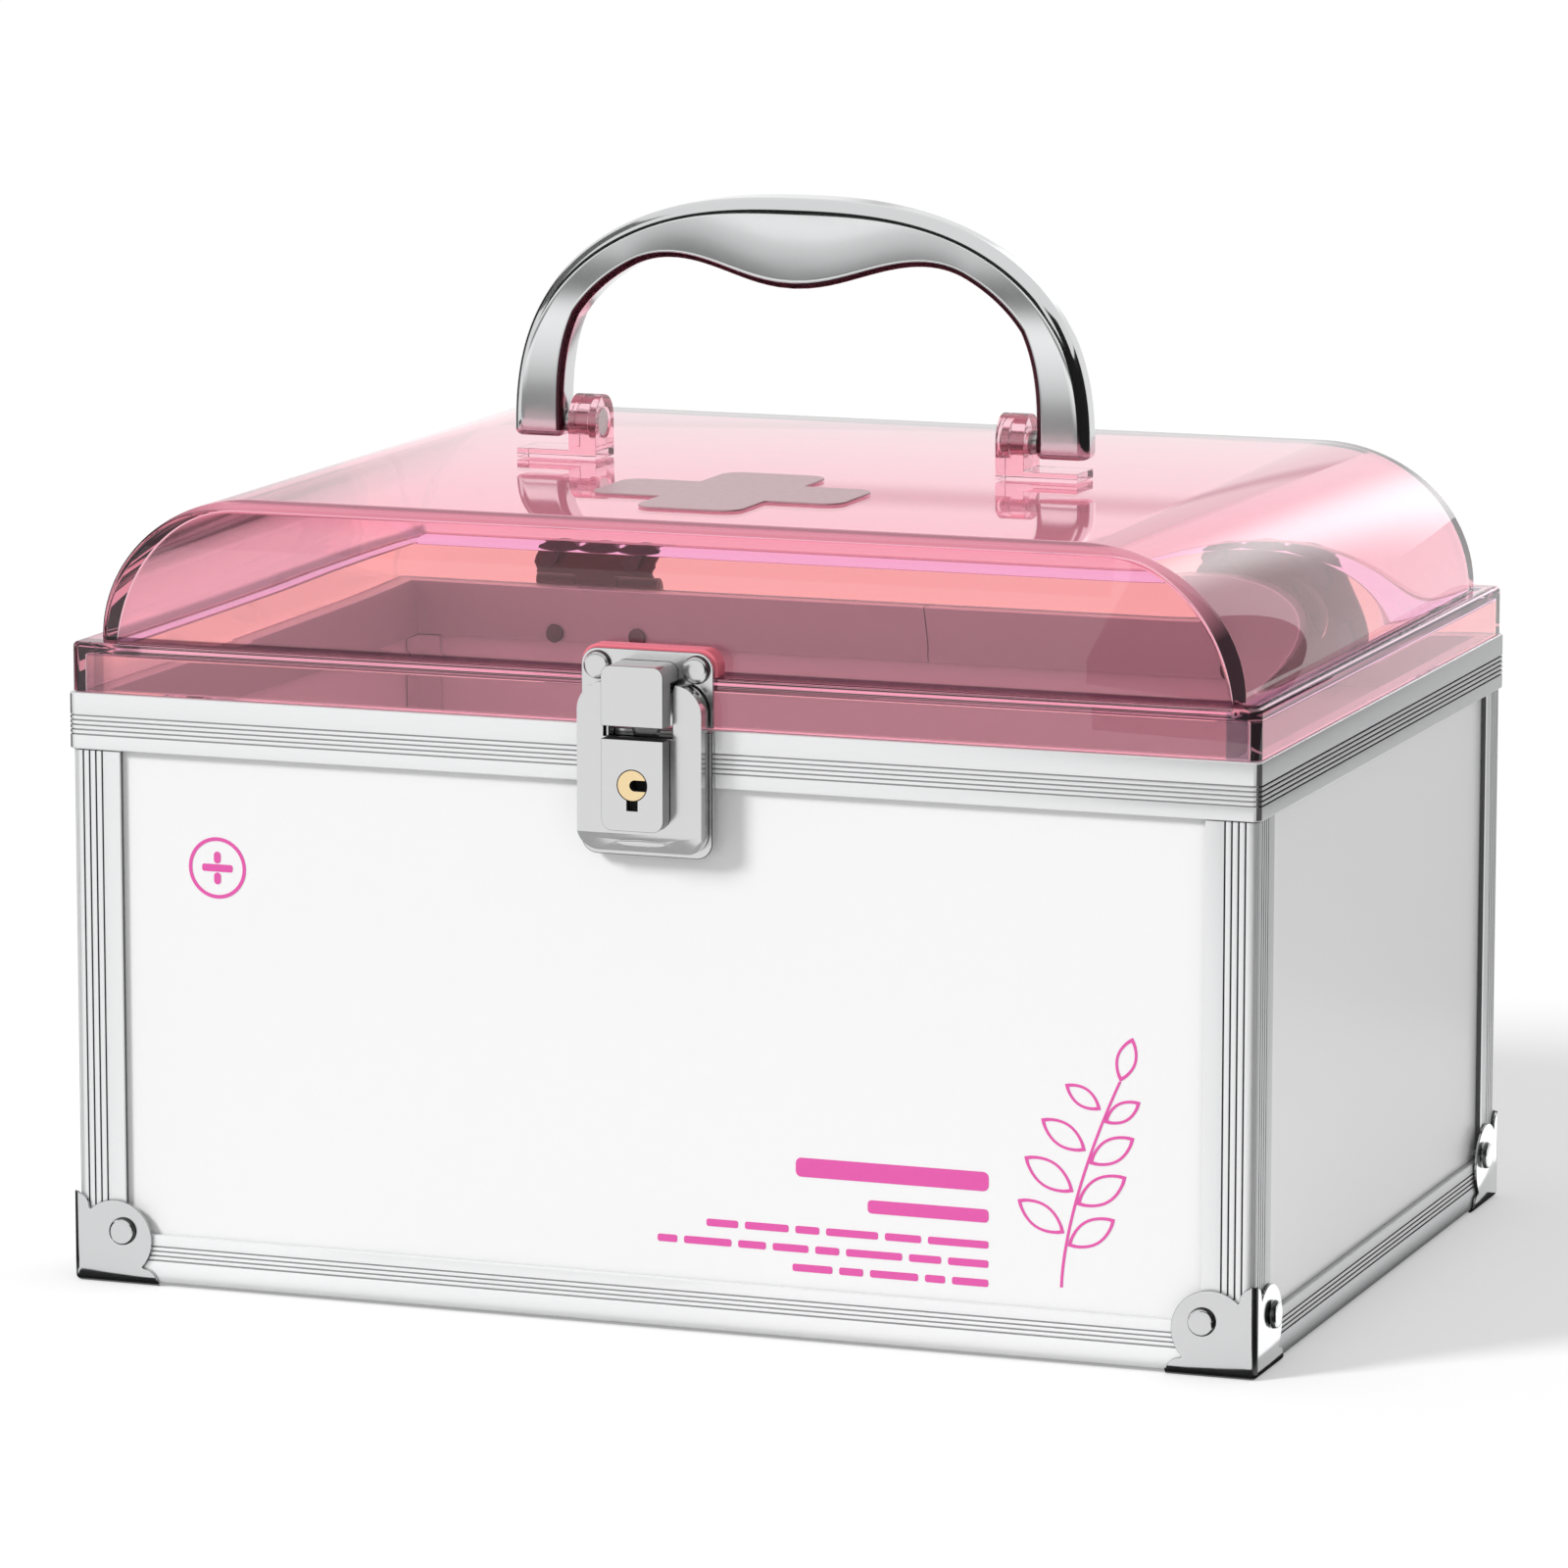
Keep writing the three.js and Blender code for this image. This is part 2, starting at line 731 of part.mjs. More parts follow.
function lidSolid() {
  const domeOuter = domeProfile(domeX, lidTop, ledgeTop - lidWall, shoulderWidth, shoulderHeight);
  const domeGeometry = new THREE.ExtrudeGeometry(domeOuter, {
    depth: 2 * (domeY - domeEdgeRadius),
    bevelEnabled: true,
    bevelThickness: domeEdgeRadius,
    bevelSize: domeEdgeRadius,
    bevelOffset: -domeEdgeRadius,
    bevelSegments: domeEdgeSteps,
    curveSegments: fineSteps,
  });
  domeGeometry.applyMatrix4(turns.y);
  domeGeometry.translate(0, domeY - domeEdgeRadius, 0);
  const flange = prism(evenRectangle(flangeX, flangeY, flangeCornerRadius), 'z', lidBase, ledgeTop);
  const lugShape = roundedRectangle(-lugWidth / 2, lugWidth / 2, ledgeTop - lidWall, ledgeTop + lugRise,
    [0, 0, lugCornerRadius, lugCornerRadius]);
  const lug = prism(lugShape, 'y', -flangeY, -domeY + domeEdgeRadius);
  const flangeHollow = evenRectangle(flangeX - lidWall, flangeY - lidWall, 0);
  const domeHollow = domeProfile(domeX - lidWall, lidTop - lidWall, lidBase - overrun,
    shoulderWidth - lidWall, shoulderHeight - lidWall);
  const body = joined([flange, solid(domeGeometry), lug]);
  return cut(body, [
    prism(flangeHollow, 'z', lidBase - overrun, ledgeTop - lidWall),
    prism(domeHollow, 'y', -domeY + lidWall, domeY - lidWall, fineSteps),
  ]);
}

place('lid_shell', drilled(lidSolid(), [...upperHingeRivets, ...strikeRivets]), pinkClear);

// Raised cross
function crossShape() {
  const long = crossLength / 2;
  const wide = crossWidth / 2;
  const arm = crossArm / 2;
  const along = evenRectangle(arm, long, crossCornerRadius);
  const across = evenRectangle(wide, arm, crossCornerRadius);
  const bottom = lidTop + seatGap;
  const top = bottom + crossThickness;
  return prism(along, 'z', bottom, top).add(prism(across, 'z', bottom, top));
}

place('lid_cross', crossShape().translate([0, -crossForward, 0]), crossPink);

// Hinge leaves: a scalloped plate curled into knuckles round the pin. Drawn for the upper leaf
// with the pin at the origin, and turned over for the lower one.
function leafOutline(reach) {
  const half = leafWidth / 2;
  const lobe = leafWidth / 6;
  const waistLow = reach * waistLowShare;
  const waistHigh = reach * waistHighShare;
  const shape = new THREE.Shape();
  shape.moveTo(-half, seatGap);
  shape.lineTo(half, seatGap);
  shape.lineTo(half, knuckleRadius);
  shape.quadraticCurveTo(half - waistDepth, waistLow, half, waistHigh);
  shape.lineTo(half, reach - lobeDrop);
  for (const middle of [2 * lobe, 0, -2 * lobe]) {
    shape.quadraticCurveTo(middle, reach + lobeDrop, middle - lobe, reach - lobeDrop);
  }
  shape.lineTo(-half, waistHigh);
  shape.quadraticCurveTo(waistDepth - half, waistLow, -half, knuckleRadius);
  return shape;
}

function hingeLeaf(reach, leafInner, knuckles) {
  const plate = prism(leafOutline(reach), 'y', leafInner, leafInner + leafThickness);
  const tubes = [];
  const gaps = [];
  const barrel = knuckleRadius + knuckleGap;
  for (const [x0, x1, present] of knuckles) {
    const from = x0 + knuckleGap / 2;
    const to = x1 - knuckleGap / 2;
    if (present) {
      tubes.push(disc(knuckleRadius, 'x', from, to, 0, 0));
    } else {
      gaps.push(block(x0 - knuckleGap / 2, x1 + knuckleGap / 2, -barrel - overrun, barrel, -barrel, barrel));
    }
  }
  const bore = disc(hingePinRadius + pinGap, 'x', -leafWidth, leafWidth, 0, 0, holeSides);
  return cut(joined([plate, ...tubes]), [...gaps, bore]);
}

const third = leafWidth / 3;
const outerKnuckles = [
  [-leafWidth / 2, -third / 2, true],
  [-third / 2, third / 2, false],
  [third / 2, leafWidth / 2, true],
];
const middleKnuckle = outerKnuckles.map(([x0, x1, present]) => [x0, x1, !present]);
const upperLeaf = hingeLeaf(upperLeafReach, flangeY + seatGap - axisY, middleKnuckle);
const lowerLeaf = hingeLeaf(lowerLeafReach, halfDepth + seatGap - axisY, outerKnuckles);
const hingePin = disc(hingePinRadius, 'x', -leafWidth / 2, leafWidth / 2, 0, 0, holeSides);
for (const [side, sideName] of [[-1, 'left'], [1, 'right']]) {
  const at = [side * hingeX, axisY, rimTop];
  const lower = lowerLeaf.rotate([0, 180, 0]).translate(at);
  place(`hinge_lower_leaf_${sideName}`, drilled(lower, lowerHingeRivets), steel);
  place(`hinge_upper_leaf_${sideName}`, drilled(upperLeaf.translate(at), upperHingeRivets), steel);
  place(`hinge_pin_${sideName}`, hingePin.translate(at), steel);
}
for (const rivet of [...lowerHingeRivets, ...upperHingeRivets]) place(rivet.name, rivetBody(rivet), steel);

// Handle brackets: an ear that carries the pin and a foot that runs out under the handle's end
const earOuterX = bracketInner + earThickness;
const pinHeadEnd = bracketInner + handlePinFace + handlePinHeadLength;
const footTop = lidTop + seatGap + footThickness;

function bracketSolid() {
  const bottom = lidTop + seatGap;
  const ear = roundedRectangle(-earDepth / 2, earDepth / 2, bottom, pivotHeight + earCover,
    [0, 0, earDepth / 2, earDepth / 2]);
  const foot = block(bracketInner, bracketInner + footReach, -earDepth / 2, earDepth / 2, bottom, footTop);
  return cut(joined([prism(ear, 'x', bracketInner, earOuterX), foot]), [
    disc(handlePinHeadRadius + seatGap, 'x', bracketInner - overrun, pinHeadEnd + seatGap, 0, pivotHeight),
    disc(handlePinShoulderRadius + seatGap, 'x', bracketInner, earOuterX + overrun, 0, pivotHeight),
  ]);
}

// Shoulder pin: head in the ear's counterbore, shoulder through the ear, spigot in the handle end
function handlePin() {
  const head = bracketInner + handlePinFace;
  const shoulderEnd = handleInner - seatGap;
  const spigotEnd = shoulderEnd + handlePinSpigotLength;
  const outline = [
    [0, head],
    [handlePinHeadRadius, head],
    [handlePinHeadRadius, pinHeadEnd],
    [handlePinShoulderRadius, pinHeadEnd],
    [handlePinShoulderRadius, shoulderEnd],
    [handlePinSpigotRadius, shoulderEnd],
    [handlePinSpigotRadius, spigotEnd],
    [0, spigotEnd],
  ].map(([r, x]) => new THREE.Vector2(r, x));
  const geometry = new THREE.LatheGeometry(outline, roundSides);
  geometry.rotateZ(-Math.PI / 2);
  geometry.translate(0, 0, pivotHeight);
  return solid(geometry);
}

const bracket = bracketSolid();
const pin = handlePin();
place('handle_bracket_right', bracket, pinkClear);
place('handle_bracket_left', mirrored(bracket, -1, 1), pinkClear);
place('handle_pin_right', pin, steel);
place('handle_pin_left', mirrored(pin, -1, 1), steel);

// Handle: its outer edge is half a superellipse, and its thickness is measured square to that edge.
// It narrows from the ends to the shoulders and swells again into the grip.
function handleStation(angle) {
  const half = handleWidth / 2;
  const rise = handleTop - handleSpring;
  const power = 2 / handlePower;
  const c = Math.cos(angle);
  const s = Math.sin(angle);
  const x = half * Math.sign(c) * Math.abs(c) ** power;
  const h = rise * s ** power;
  const normal = new THREE.Vector2(
    Math.sign(x) * Math.abs(x / half) ** (handlePower - 1) / half,
    (h / rise) ** (handlePower - 1) / rise,
  ).normalize();
  const taper = Math.min(h / handleTaperHeight, 1) ** handleTaperPower;
  const swell = Math.abs(x) < gripHalfLength ? (1 + Math.cos(Math.PI * x / gripHalfLength)) / 2 : 0;
  const thickness = handleEndThickness + (handleShoulderThickness - handleEndThickness) * taper
    + (handleGripThickness - handleShoulderThickness) * swell;
  const depth = handleEndDepth + (handleGripDepth - handleEndDepth) * swell;
  const outer = new THREE.Vector2(x, handleSpring + h);
  return { outer, normal, thickness, depth };
}

function handleSection({ outer, normal, thickness, depth }, shrink, ringOut) {
  for (let i = 0; i < handleSectionSides; i += 1) {
    const angle = 2 * Math.PI * i / handleSectionSides;
    const c = Math.cos(angle);
    const s = Math.sin(angle);
    const power = 2 / handleSectionPower;
    const across = Math.sign(c) * Math.abs(c) ** power * (thickness / 2 - shrink);
    const y = Math.sign(s) * Math.abs(s) ** power * (depth / 2 - shrink);
    const inward = thickness / 2 - across;
    ringOut.push(outer.x - normal.x * inward, y, outer.y - normal.y * inward);
  }
}

function handleSolid() {
  const positions = [];
  const stations = [];
  const end = handleStation(0);
  const foot = (height) => ({ ...end, outer: new THREE.Vector2(end.outer.x, height) });
  handleSection(foot(handleFoot), handleEndRound, positions);
  handleSection(foot(handleFoot + handleEndRound), 0, positions);
  for (let i = 1; i < 2 * handleSteps; i += 1) {
    const share = i / (2 * handleSteps);
    stations.push(Math.PI * share);
  }
  for (const angle of stations) handleSection(handleStation(angle), 0, positions);
  const far = handleStation(Math.PI);
  const farFoot = (height) => ({ ...far, outer: new THREE.Vector2(far.outer.x, height) });
  handleSection(farFoot(handleFoot + handleEndRound), 0, positions);
  handleSection(farFoot(handleFoot), handleEndRound, positions);
  const rings = stations.length + 4;
  const sides = handleSectionSides;
  const index = [];
  for (let r = 0; r < rings - 1; r += 1) {
    for (let i = 0; i < sides; i += 1) {
      const a = r * sides + i;
      const b = r * sides + (i + 1) % sides;
      index.push(a, b, a + sides, b, b + sides, a + sides);
    }
  }
  const last = (rings - 1) * sides;
  for (let i = 1; i < sides - 1; i += 1) {
    index.push(0, i + 1, i);
    index.push(last, last + i, last + i + 1);
  }
  const geometry = new THREE.BufferGeometry();
  geometry.setAttribute('position', new THREE.Float32BufferAttribute(positions, 3));
  geometry.setIndex(index);
  return solid(geometry);
}

const handleBore = handlePinSpigotRadius + seatGap;
const boreEnd = handleInner + handlePinSpigotLength + seatGap;
const handle = cut(handleSolid(), [
  disc(handleBore, 'x', handleInner - overrun, boreEnd, 0, pivotHeight),
  disc(handleBore, 'x', -boreEnd, -handleInner + overrun, 0, pivotHeight),
]);
place('handle', handle, chrome);

// Tongue of the strike, which centres the lid in a notch of the base plate below it
function tongueShape(gap) {
  const half = lipWidth / 2 + gap;
  const low = rimTop - tongueDrop - gap;
  return polygon([
    [-half, rimTop + lipRise],
    [tongueTaper - half, low],
    [half - tongueTaper, low],
    [half, rimTop + lipRise],
  ]);
}

// Latch base plate on the case: a pair of ears between the hood and the lever's arms carries
// the pivot pin, two pads reach back to the panel, and a keeper stands behind the lock's cam
function earPlate() {
  const foot = rimTop - earPlateDrop;
  const shape = new THREE.Shape();
  shape.moveTo(out(plateFront), foot);
  shape.lineTo(out(plateFront), rimTop - seatGap);
  shape.lineTo(out(pivotOut - earPlateRadius), rimTop + pivotOut);
  shape.lineTo(out(pivotOut - earPlateRadius), pivotZ);
  shape.absarc(out(pivotOut), pivotZ, earPlateRadius, 0, Math.PI);
  shape.lineTo(out(pivotOut + earPlateRadius), foot + earPlateDrop / 2);
  return shape;
}

function basePlate() {
  const half = plateWidth / 2;
  const bottom = rimTop - baseDrop;
  const plate = prism(roundedRectangle(-half, half, bottom, rimTop - seatGap,
    [plateCornerRadius, plateCornerRadius, 0, 0]), 'y', out(plateFront), out(plateBack));
  const pieces = [plate];
  for (const side of [-1, 1]) {
    const earMiddle = side * (earInner + earOuter) / 2;
    pieces.push(prism(earPlate(), 'x', earMiddle - earPlateThickness / 2, earMiddle + earPlateThickness / 2));
    const padX = side * (half - plateCornerRadius - footPadWidth / 2);
    const padZ = bottom + plateCornerRadius + footPadLift;
    pieces.push(block(padX - footPadWidth / 2, padX + footPadWidth / 2, out(plateBack), -faceY - seatGap,
      padZ, padZ + footPadHeight));
  }
  // Keeper: a post from the plate with a lip over the tip of the turned cam
  const tip = plugZ - camLength;
  const lipFront = camOut + camThickness + seatGap + keeperThickness;
  const keeperFoot = tip - seatGap - keeperThickness;
  const post = block(-keeperWidth / 2, keeperWidth / 2, out(lipFront), out(plateFront),
    keeperFoot, keeperFoot + keeperThickness);
  const lip = block(-keeperWidth / 2, keeperWidth / 2, out(lipFront), out(lipFront - keeperThickness),
    keeperFoot, tip + keeperBite);
  // The plate's top edge is notched for the tongue of the strike
  const notch = tongueShape(seatGap);
  return cut(joined([...pieces, post, lip]), [
    disc(pivotPinRadius + pinGap, 'x', -half, half, out(pivotOut), pivotZ, holeSides),
    prism(notch, 'y', out(plateFront + overrun), out(plateBack - seatGap / 2)),
  ]);
}

place('latch_base_plate', drilled(basePlate(), baseRivets), satinChrome);
for (const rivet of baseRivets) place(rivet.name, rivetBody(rivet), steel);
// The pin ends flush with the rounded shoulders of the lever
const shoulderRun = Math.sqrt(leverCornerRadius ** 2 - (leverCornerRadius - pivotArc) ** 2);
const pivotHalf = leverWidth / 2 - leverCornerRadius + shoulderRun - seatGap;
const pivotPin = disc(pivotPinRadius, 'x', -pivotHalf, pivotHalf, out(pivotOut), pivotZ, holeSides);
place('lever_pivot_pin', pivotPin, steel);

// Strike on the lid: a plate, a hood pressed out of it over the claw, and a lip for the claw
function strikeSolid() {
  const half = plateWidth / 2;
  const bottom = rimTop + 2 * seatGap;
  const plate = prism(roundedRectangle(-half, half, bottom, rimTop + strikeRise,
    [0, 0, plateCornerRadius, plateCornerRadius]), 'y', out(strikeFront), out(strikeBack));
  const w = hoodWidth / 2;
  const hoodOutline = roundedRectangle(-w, w, rimTop + hoodBottom, rimTop + hoodTop,
    [0, 0, hoodCornerRadius, hoodCornerRadius]);
  const inner = w - hoodWall;
  const hollow = roundedRectangle(-inner, inner, rimTop - overrun, rimTop + hoodTop - hoodWall,
    [0, 0, hoodCornerRadius - hoodWall, hoodCornerRadius - hoodWall]);
  const hood = prism(hoodOutline, 'y', out(hoodReach), out(strikeBack));
  const cheekCut = block(-plateWidth, plateWidth, out(hoodCheekFront), out(strikeFront),
    rimTop - overrun, pivotZ + pivotArc + seatGap);
  const shell = cut(hood, [prism(hollow, 'y', out(hoodReach - hoodWall), out(strikeFront)), cheekCut]);
  const lipTop = rimTop + lipRise + lipThickness;
  const lip = block(-lipWidth / 2, lipWidth / 2, out(strikeFront + lipReach), out(strikeFront),
    rimTop + lipRise, lipTop);
  const tongue = prism(tongueShape(0), 'y', out(plateFront), out(plateBack));
  return joined([plate, shell, lip, tongue]);
}

place('strike_plate', drilled(strikeSolid(), strikeRivets), satinChrome);
for (const rivet of strikeRivets) place(rivet.name, rivetBody(rivet), satinChrome);

// Lever: a pressed U-shaped cover. Its top edge is rolled round the pivot and its foot is bevelled.
const leverTopZ = pivotZ + pivotArc;
const leverFootZ = rimTop - leverDrop;

function leverSide(inset) {
  const face = leverFace - inset;
  const foot = leverFootZ + inset;
  const radius = pivotArc - inset;
  const back = leverBack - (inset > 0 ? overrun : 0);
  const low = Math.acos(Math.min((pivotOut - leverBack) / pivotArc, 1));
  const shape = new THREE.Shape();
  shape.moveTo(out(back), foot);
  shape.lineTo(out(back), pivotZ + radius * Math.sin(low));
  shape.absarc(out(pivotOut), pivotZ, radius, low, Math.PI / 2);
  shape.lineTo(out(face), pivotZ + radius);
  shape.lineTo(out(face), foot + leverBevelHeight);
  shape.lineTo(out(face - leverBevelDepth), foot);
  return shape;
}

// The lever's outer form, or with an inset the hollow behind its wall, which runs out at the back
function leverForm(inset) {
  const half = leverWidth / 2 - inset;
  const top = leverCornerRadius - inset;
  const low = leverFootRadius - inset;
  const front = roundedRectangle(-half, half, leverFootZ + inset, leverTopZ - inset, [low, low, top, top]);
  const tall = prism(front, 'y', out(leverFace + overrun), out(leverBack - 2 * overrun));
  return tall.intersect(prism(leverSide(inset), 'x', -half - overrun, half + overrun));
}

function leverSolid() {
  const slotFront = out(leverFace + overrun);
  const slotBack = out(leverBack - overrun);
  const slotBottom = rimTop - leverSlotBottom;
  const notchHalf = fingerNotchWidth / 2;
  return cut(leverForm(0), [
    leverForm(leverWall),
    block(-slotHalf, slotHalf, slotFront, slotBack, slotBottom, leverTopZ + overrun),
    block(-notchHalf, notchHalf, out(leverFace), out(leverFace - leverWall - leverBevelDepth / 2),
      leverFootZ + leverWall, leverFootZ + leverWall + fingerNotchHeight),
    disc(plugRadius + seatGap, 'y', out(leverFace + overrun), out(leverBack), 0, plugZ),
    disc(pivotPinRadius + pinGap, 'x', -leverWidth, leverWidth, out(pivotOut), pivotZ, holeSides),
  ]);
}

place('latch_lever', leverSolid(), satinChrome);

// Lock housing on the lever's face, with the key notch below the plug
const housingBack = leverFace + seatGap;

function housingSolid() {
  const top = rimTop - housingTop;
  const half = housingWidth / 2;
  const outline = roundedRectangle(-half, half, top - housingHeight, top,
    [housingFootRadius, housingFootRadius, 0, 0]);
  const notchHalf = keyNotchWidth / 2;
  const notchTop = plugZ - plugRadius;
  const notchDepth = housingFace - keyNotchHeight;
  const boreFront = out(housingFace + overrun);
  const boreBack = out(housingBack - overrun);
  return cut(prism(outline, 'y', out(housingFace), out(housingBack)), [
    disc(plugRadius + pinGap, 'y', boreFront, boreBack, 0, plugZ, 2 * roundSides),
    block(-notchHalf, notchHalf, out(housingFace + overrun), out(notchDepth),
      notchTop - keyNotchHeight, plugZ),
  ]);
}

place('lock_housing', housingSolid(), satinChrome);

// Lock plug: a brass barrel with the key slot open to one side, and a tail that carries the cam
const camBack = camOut;
const camFront = camOut + camThickness;

function plugSolid() {
  const barrelBack = camFront + seatGap;
  const barrel = disc(plugRadius, 'y', out(housingFace), out(barrelBack), 0, plugZ, 2 * roundSides);
  const tail = disc(plugTailRadius, 'y', out(barrelBack + overrun), out(camBack), 0, plugZ);
  const keyHalf = keySlotWidth / 2;
  const slotEnd = keyHalf / 2;
  const floor = housingFace - keySlotDepth;
  return cut(joined([barrel, tail]), [
    block(slotEnd, 2 * plugRadius, out(housingFace + overrun), out(floor), plugZ - keyHalf, plugZ + keyHalf),
    disc(keyHalf, 'y', out(housingFace + overrun), out(floor), slotEnd, plugZ),
  ]);
}

function camSolid() {
  const half = camWidth / 2;
  const corners = [half, half / 2, half / 2, half];
  const shape = roundedRectangle(-half, camLength, plugZ - half, plugZ + half, corners);
  return prism(shape, 'y', out(camFront), out(camBack))
    .subtract(disc(plugTailRadius + pinGap, 'y', out(camFront + overrun), out(camBack - overrun), 0, plugZ));
}

place('lock_plug', plugSolid(), brass);
place('lock_cam', camSolid(), steel);

// Draw claw: a strip curled round the pivot pin inside the hood, hanging straight down at rest
function clawSolid() {
  const half = clawWidth / 2;
  const thick = clawThickness / 2;
  const tip = roundedRectangle(out(pivotOut) - thick, out(pivotOut) + thick, pivotZ - clawReach, pivotZ,
    [thick / 2, thick / 2, 0, 0]);
  const hub = disc(clawHubRadius, 'x', -half, half, out(pivotOut), pivotZ);
  return joined([hub, prism(tip, 'x', -half, half)])
    .subtract(disc(pivotPinRadius + pinGap, 'x', -plateWidth, plateWidth, out(pivotOut), pivotZ));
}

place('draw_claw', clawSolid(), steel);

export default part;
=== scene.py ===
# A small lockable medicine box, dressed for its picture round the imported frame. The sections follow
# the box as it is put together: extrusions, panels and print, lid, corners, rivets, hinges, handle,
# latch and lock, and then the studio. The box's sizes are in millimetres, and `placed` turns them
# into metres. The studio's sizes are in metres.
import json
import math

import bmesh
import bpy
from mathutils import Matrix, Vector

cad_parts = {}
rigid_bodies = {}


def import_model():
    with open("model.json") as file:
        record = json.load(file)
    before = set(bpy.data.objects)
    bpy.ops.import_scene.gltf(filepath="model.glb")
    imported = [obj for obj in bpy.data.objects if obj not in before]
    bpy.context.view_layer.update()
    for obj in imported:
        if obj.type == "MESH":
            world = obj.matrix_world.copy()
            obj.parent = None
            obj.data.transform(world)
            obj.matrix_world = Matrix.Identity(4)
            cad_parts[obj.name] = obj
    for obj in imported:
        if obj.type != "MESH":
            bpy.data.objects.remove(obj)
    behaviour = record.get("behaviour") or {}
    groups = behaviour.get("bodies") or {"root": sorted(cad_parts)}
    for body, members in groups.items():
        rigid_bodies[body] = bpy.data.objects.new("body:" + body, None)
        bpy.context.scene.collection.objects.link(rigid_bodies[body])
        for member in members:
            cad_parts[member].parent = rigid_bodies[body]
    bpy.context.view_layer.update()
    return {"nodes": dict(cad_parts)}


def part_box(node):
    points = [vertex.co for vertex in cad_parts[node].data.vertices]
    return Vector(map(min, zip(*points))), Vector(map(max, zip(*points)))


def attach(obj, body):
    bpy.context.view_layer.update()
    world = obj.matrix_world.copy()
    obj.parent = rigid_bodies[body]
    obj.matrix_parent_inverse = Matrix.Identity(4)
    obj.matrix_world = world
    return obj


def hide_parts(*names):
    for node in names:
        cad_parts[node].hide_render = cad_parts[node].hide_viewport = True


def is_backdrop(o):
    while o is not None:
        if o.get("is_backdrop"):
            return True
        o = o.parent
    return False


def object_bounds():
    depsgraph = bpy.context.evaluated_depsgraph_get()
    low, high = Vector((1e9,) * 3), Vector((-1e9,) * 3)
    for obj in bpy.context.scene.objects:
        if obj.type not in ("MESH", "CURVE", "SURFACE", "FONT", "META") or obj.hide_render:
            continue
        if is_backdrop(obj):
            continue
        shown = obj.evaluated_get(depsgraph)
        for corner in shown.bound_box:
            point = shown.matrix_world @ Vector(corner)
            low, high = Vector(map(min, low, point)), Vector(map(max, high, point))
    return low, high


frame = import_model()

# Rim: one anodised aluminium extrusion bent round the mouth and butted at the middle of the back.
# Five fine grooves run round it, and its top and bottom edges are eased.
MM = 0.001
AXES = {"x": (2, 0, 1), "y": (0, 2, 1), "z": (0, 1, 2)}


def span(node):
    """A CAD node's lowest and highest corners, in millimetres."""
    low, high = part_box(node)
    return low / MM, high / MM


def skin(points, faces):
    """A mesh in millimetres, with its faces turned outwards."""
    mesh = bpy.data.meshes.new("shape")
    mesh.from_pydata([tuple(p) for p in points], [], faces)
    form = bmesh.new()
    form.from_mesh(mesh)
    bmesh.ops.recalc_face_normals(form, faces=form.faces)
    form.to_mesh(mesh)
    form.free()
    return mesh


def loft(rings, closed=False):
    """A skin over rings of points, capped at both ends unless the last ring meets the first."""
    around = len(rings[0])
    points = [p for ring in rings for p in ring]
    faces = []
    for r in range(len(rings) if closed else len(rings) - 1):
        here, there = r * around, (r + 1) % len(rings) * around
        for i in range(around):
            j = (i + 1) % around
            faces.append((here + i, here + j, there + j, there + i))
    if not closed:
        faces.append(tuple(range(around)))
        faces.append(tuple(range(len(points) - around, len(points))))
    return skin(points, faces)


def ring_at(outline, axis, place):
    """An outline of (a, b) points, set square to an axis."""
    order = AXES[axis]
    return [tuple((a, b, place)[i] for i in order) for a, b in outline]


def prism(outline, axis, start, end):
    return loft([ring_at(outline, axis, start), ring_at(outline, axis, end)])


def arc(a, b, radius, start, end, steps=8):
    """Points round part of a circle, from one angle in degrees to another."""
    turns = [math.radians(start + (end - start) * i / steps) for i in range(steps + 1)]
    return [(a + radius * math.cos(t), b + radius * math.sin(t)) for t in turns]


GROOVE_WIDTH = 0.5
GROOVE_DEPTH = 0.6
GROOVE_LIP = 0.08


def groove_run(start, pitch, count):
    """Grooves with eased lips, as (distance along the face, depth into it)."""
    points = []
    lip = GROOVE_LIP
    for i in range(count):
        near = start + i * pitch
        far = near + GROOVE_WIDTH
        points += [(near - lip, 0), (near + lip / 2, lip / 2), (near + lip, GROOVE_DEPTH)]
        points += [(far - lip, GROOVE_DEPTH), (far - lip / 2, lip / 2), (far + lip, 0)]
    return points


def placed(name, mesh, material, body, nodes=(), edge=0.0, crease=35, edge_steps=2, bevel_shade=None):
    """The finished piece: metres, material, eased edges, its body and the CAD nodes that it stands for."""
    mesh.transform(Matrix.Scale(MM, 4))
    mesh.name = name
    mesh.materials.clear()
    mesh.materials.append(material)
    mesh.shade_smooth()
    mesh.set_sharp_from_angle(angle=math.radians(crease))
    piece = bpy.data.objects.new(name, mesh)
    bpy.context.scene.collection.objects.link(piece)
    if edge:
        ease = piece.modifiers.new("eased edges", "BEVEL")
        ease.width = edge * MM
        ease.segments = edge_steps
        ease.limit_method = "ANGLE"
        ease.angle_limit = math.radians(crease)
        ease.harden_normals = True
        # The bevel's own material, here always the painted edge shade.
        if bevel_shade:
            mesh.materials.append(bevel_shade)
            ease.material = 1
    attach(piece, body)
    if nodes:
        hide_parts(*nodes)
    return piece


def wire(node, inputs):
    """Set a node's inputs, by name or number, to values or to what other nodes give out."""
    for name, value in inputs.items():
        if isinstance(value, bpy.types.NodeSocket):
            node.id_data.links.new(value, node.inputs[name])
        else:
            node.inputs[name].default_value = value


def add_node(nodes, kind, inputs, **settings):
    node = nodes.new("ShaderNode" + kind)
    for name, value in settings.items():
        setattr(node, name, value)
    wire(node, inputs)
    return node


def new_material(name):
    material = bpy.data.materials.new(name)
    material.use_nodes = True
    return material, material.node_tree.nodes


BUMP_DEEP = 0.0002


